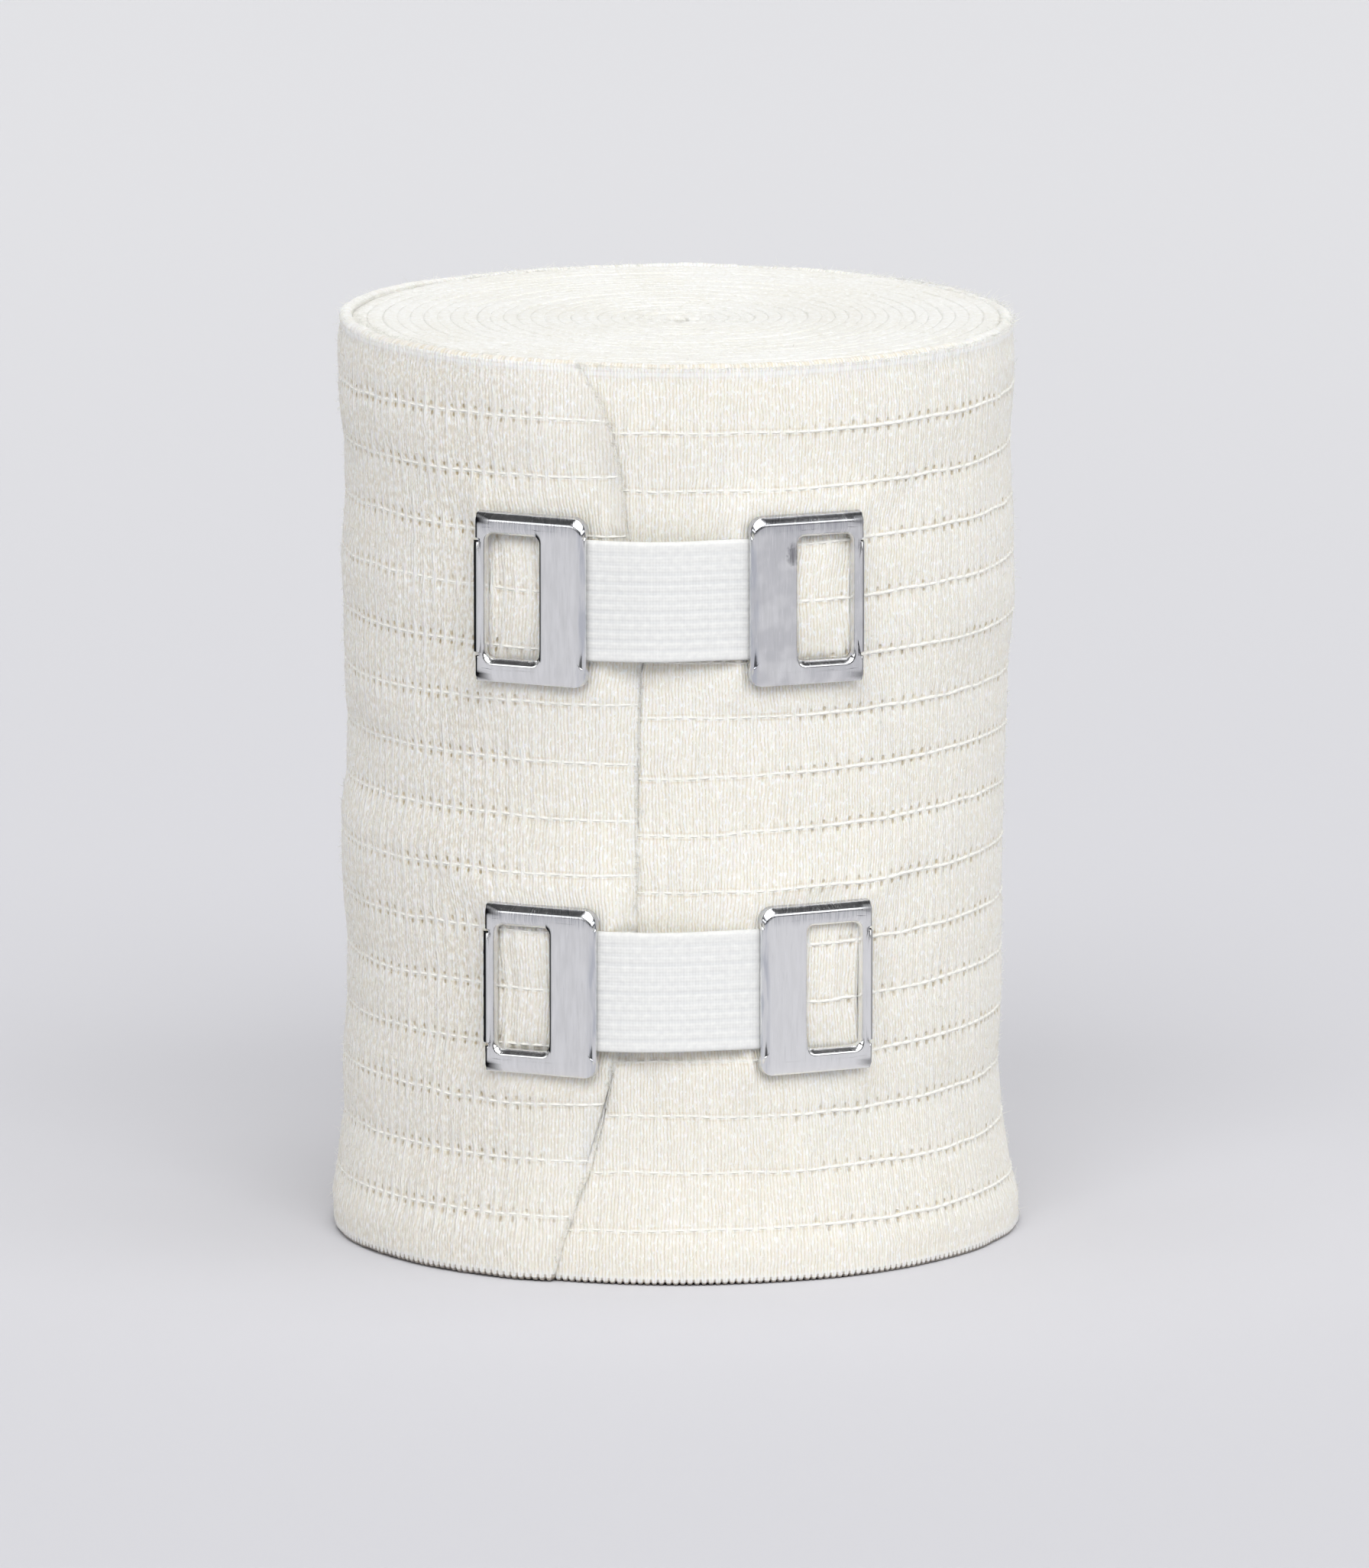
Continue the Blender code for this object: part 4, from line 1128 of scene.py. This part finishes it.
def plate_outline(end, side, tab, corner):
    """Loop of (across, up, share of elastic-side rim, share of tab)."""
    half = PLATE_H / 2
    low, high = -half + end, half - end
    left, right = tab, PLATE_W - side
    r = corner - 0.22 * min(end, 1.65)
    over = min(ELASTIC_W / 2 + GAP, high - r - 0.1)
    small = 0.22
    pts = []
    for k in range(5):  # low left
        a = math.radians(180 + 22.5 * k)
        pts.append((left + small + small * math.cos(a), low + small + small * math.sin(a), 0.0, 0.0))
    for x in np.linspace(2.2, right - r - 0.6, 7):
        pts.append((float(x), low, 0.0, 0.0))
    for k in range(9):  # low right
        a = math.radians(270 + 11.25 * k)
        pts.append((right - r + r * math.cos(a), low + r + r * math.sin(a), 0.0, 0.0))
    start = low + r
    ladder = [start + (-over - start) * f for f in (0.3, 0.6, 0.85, 1.0)]
    for f, z in zip((0.15, 0.5, 0.85, 1.0), ladder):
        pts.append((right, z, f, 0.0))
    for z in (-4.5, -2.2, 0.0, 2.2, 4.5):
        pts.append((right, z, 1.0, 0.0))
    start = high - r
    ladder = [over + (start - over) * f for f in (0.0, 0.15, 0.4, 0.7)]
    for f, z in zip((1.0, 0.85, 0.5, 0.15), ladder):
        pts.append((right, z, f, 0.0))
    for k in range(9):  # high right
        a = math.radians(11.25 * k)
        pts.append((right - r + r * math.cos(a), high - r + r * math.sin(a), 0.0, 0.0))
    for x in np.linspace(right - r - 0.6, 2.2, 7):
        pts.append((float(x), high, 0.0, 0.0))
    for k in range(5):  # high left
        a = math.radians(90 + 22.5 * k)
        pts.append((left + small + small * math.cos(a), high - small + small * math.sin(a), 0.0, 0.0))
    # The tooth side, top to bottom: plain edge, notch, toothed tab, notch, plain edge.
    tall = TAB_H / 2
    side_points = [(tall + 0.95, 0.0), (tall + 0.50, 0.0), (tall + 0.42, -1.0), (tall + 0.12, -1.0), (tall + 0.02, 1.0)]
    for k in range(1, 2 * TEETH):
        side_points.append((tall - TAB_H * k / (2 * TEETH), 1.0 if k % 2 == 0 else 2.0))
    side_points += [(-tall - 0.02, 1.0), (-tall - 0.12, -1.0), (-tall - 0.42, -1.0), (-tall - 0.50, 0.0), (-tall - 0.95, 0.0)]
    for z, kind in side_points:
        pts.append((left + (0.38 if kind < 0 else 0.0), z, 0.0, max(kind, 0.0)))
    return pts


def window_outline(grow, grow_low, grow_high, count):
    """The window's loop, with the same number of points as the plate's."""
    left = WINDOW_EDGE - grow * 0.8
    right = WINDOW_EDGE + WINDOW_W + grow
    low = -WINDOW_H / 2 + WINDOW_LIFT - grow_low
    high = WINDOW_H / 2 + WINDOW_LIFT + grow_high
    r = 0.70 + grow
    pts = []

    def corner(cx, cz, start, n):
        for k in range(n):
            a = math.radians(start + 90.0 * k / (n - 1))
            pts.append((cx + r * math.cos(a), cz + r * math.sin(a)))

    corner(left + r, low + r, 180, 5)
    for x in np.linspace(left + r, right - r, 9)[1:-1]:
        pts.append((float(x), low))
    corner(right - r, low + r, 270, 9)
    for z in np.linspace(low + r, high - r, 15)[1:-1]:
        pts.append((right, float(z)))
    corner(right - r, high - r, 0, 9)
    for x in np.linspace(right - r, left + r, 9)[1:-1]:
        pts.append((float(x), high))
    corner(left + r, high - r, 90, 5)
    left_side = count - len(pts)
    for z in np.linspace(high - r, low + r, left_side + 2)[1:-1]:
        pts.append((left, float(z)))
    return pts


def plate_mesh(splay, edge_shade_paint, lip_shade_paint, tab_round, stand_out):
    """Rings of (across, up, height, painted shade): outer rim, face, window, underside."""
    top = SHEET
    rings = []

    def outer_ring(a, under=False):
        """a runs from 0, on the rim's side, to 90, on the face."""
        c, s = 1 - math.cos(math.radians(a)), math.sin(math.radians(a))
        at = a / 90.0 * (len(BEND) - 1)
        way = float(np.interp(at, range(len(BEND)), [b[0] for b in BEND]))
        left = float(np.interp(at, range(len(BEND)), [b[1] for b in BEND]))
        shrink = SHEET if under else 0.0
        big, small, tab = RIM - shrink, max(SIDE_RIM - shrink, 0.12), tab_round if not under else 0.12
        end_in = RIM_IN * way if not under else big * c
        pts = plate_outline(end_in + shrink, small * 1.5 * c + shrink, tab * c + shrink, CORNER)
        out = []
        base = 0.0 if under else top
        for x, z, side, tabbed in pts:
            # In the long straight run of the elastic's side the rim is smaller.
            h_end = base - big * (left if not under else 1 - s)
            h_side = base - small + small * s
            near_tab = x < 0.8 + tab + shrink and abs(z) < PLATE_H / 2 - 0.3 - end_in
            if tabbed > 0 and not under:
                x -= stand_out * (1.0 - 0.8 * c)
            h = h_end + (h_side - h_end) * side
            if near_tab:
                h = base - tab + tab * s
            out.append((x, z, h, 0.0))
        return out

    def rim_foot(under):
        shrink = SHEET if under else 0.0
        pts = plate_outline(shrink, shrink, shrink, CORNER)
        out = []
        for x, z, side, tabbed in pts:
            h = -RIM_DROP + (RIM_DROP - SIDE_DROP) * side
            # Painted shade: the rims' feet are a little dark, the tab side fully dark.
            painted_shade = 0.25
            if x < 1.0 + shrink and abs(z) < PLATE_H / 2 - 0.3:
                h = 0.0 if not under else -0.01
                if tabbed > 0:
                    # The tab leans outwards as it goes down to its teeth.
                    h = -(TAB_DROP - (0.0 if tabbed > 1.5 else TOOTH))
                    x -= splay * (1.0 if not under else 0.8) + (stand_out if not under else 0.0)
                painted_shade = 1.0
            out.append((x, z, h, painted_shade))
        return out

    rings.append(rim_foot(False))
    bends = len(BEND) - 1
    for i in range(bends + 1):
        ring = outer_ring(i * 90.0 / bends)
        # Painted shade and dark reflection on the tooth side's rounded edge.
        shade = (1.0, 1.0, 1.0, 1.0, 1.0, 1.0, 1.0, 0.2, 0.0)[i] * edge_shade_paint
        ring = [(x, z, h, shade if x < 0.7 and abs(z) < PLATE_H / 2 - 0.2 else 0.0) for x, z, h, d in ring]
        rings.append(ring)
    count = len(rings[0])

    def window_ring(a, under=False):
        """a runs from 90, on the face, to 0, down in the window."""
        c, up = 1 - math.cos(math.radians(a)), math.sin(math.radians(a))
        deep = WINDOW_RIM + 0.10 - (SHEET if under else 0.0)
        shrink = SHEET if under else 0.0
        height = (0.0 if under else top) - deep + deep * up
        at = a / 90.0 * (len(BEND) - 1)
        way = float(np.interp(at, range(len(BEND)), [b[0] for b in BEND]))
        left = float(np.interp(at, range(len(BEND)), [b[1] for b in BEND]))
        low_in = LIP_IN * way if not under else 0.9 * c
        loop = window_outline(0.62 * c + shrink, low_in + shrink, 0.95 * c + shrink, count)
        # The lower lip has the rims' steep section, the other sides are round.
        lip = top - deep * left if not under else height
        low_edge = -WINDOW_H / 2 + WINDOW_LIFT
        return [(x, z, height + (lip - height) * float(step(low_edge + 1.0, low_edge + 0.1, z)), 0.0) for x, z in loop]

    for i in range(bends, -1, -1):
        ring = window_ring(i * 90.0 / bends)
        shade = (1.0, 1.0, 1.0, 1.0, 1.0, 1.0, 0.9, 0.15, 0.0)[i] * lip_shade_paint
        if shade:
            # Painted shade on the window's far upright side, low in the fold.
            ring = [(x, z, h, shade if x > WINDOW_EDGE + WINDOW_W - 0.25 and z > -WINDOW_H / 2 + 0.2 else shade * 0.05) for x, z, h, d in ring]
        rings.append(ring)
    # Painted shade down in the window and on the underside.
    rings.append([(x, z, -WINDOW_DROP - 0.1, lip_shade_paint if x > WINDOW_EDGE + WINDOW_W - 0.3 else 0.2) for x, z in window_outline(0.0, 0.0, 0.0, count)])
    rings.append([(x, z, -WINDOW_DROP - 0.1, 0.9) for x, z in window_outline(SHEET * 0.8, SHEET * 0.8, SHEET * 0.8, count)])
    for a in (0, 45, 90):
        rings.append([(x, z, h, 0.3) for x, z, h, d in window_ring(a, under=True)])
    for a in (90, 45, 0):
        rings.append([(x, z, h, 0.3) for x, z, h, d in outer_ring(a, under=True)])
    rings.append(rim_foot(True))
    return rings


def make_plate(name, number, clip_z, phi, mirrored):
    seat = cloth_radius(phi, clip_z) + STAND
    a = math.radians(phi)
    across = np.array([math.cos(a), math.sin(a), 0.0])
    out = np.array([math.sin(a), -math.cos(a), 0.0])
    centre = np.array([AXIS_X, AXIS_Y, clip_z]) + out * seat
    flip = -1.0 if mirrored else 1.0
    rings = plate_mesh(0.45, 1.0, 1.0, 0.50, 0.20) if not mirrored else plate_mesh(0.30, 0.55, 0.12, 0.34, 0.08)
    points, uvs, painted_shade = [], [], []
    for ring in rings:
        for x, z, h, d in ring:
            # Hand-pressed sheet: the face isn't quite flat.
            h2 = h + 0.006 * float(noise(x / 3.2 + number * 7.0, z / 3.6, 61))
            p = centre + across * ((x - PLATE_W / 2) * flip) + out * h2
            points.append((p * MM + np.array([0.0, 0.0, z * MM])).tolist())
            uvs.append((x + (h - SHEET) * (1.0 if x < PLATE_W / 2 else -1.0) * 0.5, z))
            painted_shade.append(d)
    count = len(rings[0])
    ids = np.arange(len(points)).reshape(len(rings), count)
    faces = grid_faces(ids, close_rows=True, close_columns=True)
    if not mirrored:
        faces = [f[::-1] for f in faces]
    piece = new_piece(name + "_sheet", points, faces, sheet_metal, [name])
    piece.data.set_sharp_from_angle(angle=math.radians(38))
    layer = piece.data.uv_layers.new(name="plate")
    corner = np.zeros(len(piece.data.loops), dtype=np.int32)
    piece.data.loops.foreach_get("vertex_index", corner)
    layer.data.foreach_set("uv", np.array(uvs)[corner].astype(np.float32).ravel())
    # The painted shade and dark reflection, kept as a point attribute.
    attribute = piece.data.attributes.new("painted_shade", "FLOAT", "POINT")
    attribute.data.foreach_set("value", np.array(painted_shade, dtype=np.float32))
    attribute = piece.data.attributes.new("which_plate", "FLOAT", "POINT")
    attribute.data.foreach_set("value", np.full(len(points), float(number), dtype=np.float32))
    return piece


# ---- Elastic ---------------------------------------------------------------


def make_elastic(name, clip, seed):
    z = clip["z"] + 0.30
    half = ELASTIC_W / 2
    edge = []
    for side, turn in (("left", 1.0), ("right", -1.0)):
        seat = cloth_radius(clip[side], z) + STAND
        edge.append(clip[side] + turn * math.degrees(PLATE_W / 2 / seat))
    under = math.degrees(ELASTIC_UNDER / END_RADIUS)
    start, end = edge[0] - under, edge[1] + under
    step_phi = CAD_EDGE(z)
    low_radius = cloth_radius(step_phi + 4.0, z)
    count = 130
    # Ribs: groove depths differ from rib to rib, with plain bands at both edges.
    rng = np.random.default_rng(seed)
    pitch = 1.05
    grooves = np.arange(-5.0, 5.01, 1.0) * pitch
    depths = 0.05 + 0.045 * rng.random(len(grooves))
    heights = []
    for g in np.arange(-half + 0.25, half - 0.2, 0.21):
        heights.append(float(g))
    heights = np.array(heights)

    def crown(up):
        """Height over the groove floor, and how much of a groove it is."""
        h = np.zeros_like(up)
        g = np.zeros_like(up)
        for at, depth in zip(grooves, depths):
            share = np.exp(-(((up - at) / 0.17) ** 2))
            h -= depth * share
            g = np.maximum(g, share * depth / 0.095)
        return h, g

    relief, groove = crown(heights)
    rings, marks = [], []
    for k in range(count + 1):
        phi = start + (end - start) * k / count
        ease = min(1.0, max(0.0, (phi - step_phi - 1.5) / (edge[1] - step_phi - 1.5)))
        ease = ease * ease * (3 - 2 * ease)
        high = cloth_radius(min(phi, step_phi - 0.1), z)
        inside = high + (low_radius - high) * ease + GAP
        inside = max(inside, cloth_radius(phi, z) + GAP)
        thick = ELASTIC_T
        inner = 0.0
        for side, at in (("left", edge[0]), ("right", edge[1])):
            beyond = (at - phi) if side == "left" else (phi - at)
            if beyond > -0.5:
                seat = cloth_radius(clip[side], z) + STAND
                roof = seat / math.cos(math.radians(phi - clip[side])) - GAP - 0.02
                share = min(1.0, max(0.0, (beyond + 0.5) / (under + 0.5)))
                want = ELASTIC_T + (ELASTIC_CRIMPED - ELASTIC_T) * share
                roof -= SIDE_DROP * (1.0 if beyond < 1.2 else 0.0)
                thick = min(want, roof - inside)
        arc = math.radians(phi) * 37.0
        wave = 0.010 * noise(arc / 0.9, heights / 1.05, seed + 3)
        outer = inside + thick + relief * 0.9 + wave
        pull = 1.0 - 0.012 * math.sin(math.pi * k / count)
        ring = [(inside + 0.12, -half * pull + 0.02, 0.0), (inside + thick * 0.5, -half * pull, 0.0), (inside + thick - 0.16, -half * pull + 0.05, 0.0)]
        ring += [(float(o), float(h) * pull, float(g)) for o, h, g in zip(outer, heights, groove)]
        ring += [(inside + thick - 0.16, half * pull - 0.05, 0.0), (inside + thick * 0.5, half * pull, 0.0), (inside + 0.12, half * pull - 0.02, 0.0)]
        ring += [(inside, half * pull * f, 0.0) for f in (0.96, 0.5, 0.0, -0.5, -0.96)]
        rings.append((phi, ring))
    points, uvs = [], []
    for phi, ring in rings:
        for r, dz, g in ring:
            points.append(place(np.array(r), np.array(phi), np.array(z + dz)).tolist())
            uvs.append((math.radians(phi) * 37.0, dz))
            marks.append(g)
    per = len(rings[0][1])
    ids = np.arange(len(points)).reshape(count + 1, per)
    faces = grid_faces(ids, close_rows=False, close_columns=True)
    faces.append(tuple(int(i) for i in ids[0]))
    faces.append(tuple(int(i) for i in ids[-1][::-1]))
    piece = new_piece(name + "_band", points, faces, elastic_white, [name])
    layer = piece.data.uv_layers.new(name="weave")
    corner = np.zeros(len(piece.data.loops), dtype=np.int32)
    piece.data.loops.foreach_get("vertex_index", corner)
    layer.data.foreach_set("uv", np.array(uvs)[corner].astype(np.float32).ravel())
    attribute = piece.data.attributes.new("groove", "FLOAT", "POINT")
    attribute.data.foreach_set("value", np.array(marks, dtype=np.float32))
    length = sum(
        math.hypot(rings[i + 1][1][3][0] * math.radians(rings[i + 1][0] - rings[i][0]), rings[i + 1][1][3][0] - rings[i][1][3][0])
        for i in range(count)
    )
    return piece, length


# ---- Build -----------------------------------------------------------------

outer = outer_turn()
inner, inner_length = inner_turns()
warps = warp_threads()
fuzz_side, fuzz_top = fuzz()

number = 0
for clip in CLIPS:
    base = clip["name"]
    make_plate(base + "_plate_left", number, clip["z"], clip["left"], False)
    make_plate(base + "_plate_right", number + 1, clip["z"], clip["right"], True)
    band, length = make_elastic(base + "_elastic", clip, 90 + number)
    number += 2

# ---- Floor, light and camera -----------------------------------------------

KEY, LEFT_BOX, RIGHT_BOX, WALL, OVER = 5.20, 1.85, 2.75, 0.9, 2.55
FLOOR_COLOUR = (0.660, 0.656, 0.683, 1.0)
FLOOR_BACK = (0.715, 0.712, 0.728, 1.0)



def make_floor():
    mesh = bpy.data.meshes.new("floor")
    size = 9.0
    mesh.from_pydata([(-size, -size, 0), (size, -size, 0), (size, size, 0), (-size, size, 0)], [], [(0, 1, 2, 3)])
    n = Nodes("pale_floor")
    # A pale sheet with painted light: it brightens a little towards the back.
    where = n.add("ShaderNodeTexCoord").outputs["Object"]
    split = n.add("ShaderNodeSeparateXYZ")
    n.link(where, split.inputs[0])
    n.link(n.mix(n.smooth(split.outputs[1], 0.05, 0.85), FLOOR_COLOUR, FLOOR_BACK), n.shader.inputs["Base Color"])
    n.shader.inputs["Roughness"].default_value = 0.85
    n.shader.inputs["Specular IOR Level"].default_value = 0.15
    mesh.materials.append(n.mat)
    floor = bpy.data.objects.new("floor", mesh)
    bpy.context.collection.objects.link(floor)
    return floor


make_floor()

# The light is all far away: a large soft box high in front, a weaker one
# overhead, low boxes at both sides, and a pale wall behind. The rest is dark.
world = bpy.data.worlds.new("studio")
bpy.context.scene.world = world
world.use_nodes = True
tree = world.node_tree
background = tree.nodes["Background"]
where = tree.nodes.new("ShaderNodeTexCoord")
split = tree.nodes.new("ShaderNodeSeparateXYZ")
tree.links.new(where.outputs["Generated"], split.inputs[0])
dir_x, dir_y, dir_z = split.outputs


def world_math(operation, a, b=0.0, clamp=False):
    node = tree.nodes.new("ShaderNodeMath")
    node.operation = operation
    node.use_clamp = clamp
    for socket, value in zip(node.inputs, (a, b)):
        if isinstance(value, (int, float)):
            socket.default_value = value
        else:
            tree.links.new(value, socket)
    return node.outputs[0]


def world_range(value, low, high, to_low=0.0, to_high=1.0):
    node = tree.nodes.new("ShaderNodeMapRange")
    node.interpolation_type = "SMOOTHSTEP"
    tree.links.new(value, node.inputs["Value"])
    for key, v in (("From Min", low), ("From Max", high), ("To Min", to_low), ("To Max", to_high)):
        node.inputs[key].default_value = v
    return node.outputs["Result"]


def world_window(value, low, high, soft):
    """1 where a value lies between two bounds, with soft edges."""
    rise = world_range(value, low - soft, low + soft)
    fall = world_range(value, high + soft, high - soft)
    return world_math("MULTIPLY", rise, fall)


pitch = world_math("ARCTAN2", dir_z, world_math("MULTIPLY", dir_y, -1.0))
key = world_math("MULTIPLY", world_window(dir_x, -0.40, 0.44, 0.05), world_window(pitch, 0.50, 1.02, 0.06))
over = world_math("MULTIPLY", world_window(dir_x, -0.40, 0.44, 0.05), world_window(pitch, 1.38, 1.85, 0.04))
front = world_range(dir_y, 0.15, -0.05)
left_box = world_math("MULTIPLY", world_math("MULTIPLY", world_window(dir_x, -0.92, -0.62, 0.03), world_window(dir_z, 0.08, 0.47, 0.03)), front)
right_box = world_math("MULTIPLY", world_math("MULTIPLY", world_window(dir_x, 0.60, 0.94, 0.03), world_window(dir_z, 0.17, 0.55, 0.03)), front)
wall = world_math("MULTIPLY", world_range(dir_y, 0.10, 0.45), world_range(dir_z, 0.62, 0.40))
total_light = 0.065
for part, level in ((key, KEY), (left_box, LEFT_BOX), (right_box, RIGHT_BOX), (wall, WALL), (over, OVER)):
    total_light = world_math("ADD", world_math("MULTIPLY", part, level), total_light)
tree.links.new(total_light, background.inputs["Strength"])
background.inputs["Color"].default_value = (0.985, 0.99, 1.0, 1.0)

camera_data = bpy.data.cameras.new("camera")
camera_data.sensor_width = 36.0
camera_data.lens = 492.35
camera_data.clip_start, camera_data.clip_end = 0.05, 40.0
camera = bpy.data.objects.new("camera", camera_data)
bpy.context.collection.objects.link(camera)
aim = Vector((1.118 * MM, AXIS_Y * MM, 48.3 * MM))
tilt = math.radians(10.3)
back = Vector((0.0, -math.cos(tilt), math.sin(tilt)))
camera.location = aim + back * 2.336
camera.rotation_euler = back.to_track_quat("Z", "Y").to_euler()
bpy.context.scene.camera = camera

scene = bpy.context.scene
scene.view_settings.view_transform = "Standard"
scene.view_settings.look = "None"
scene.view_settings.exposure = 0.0
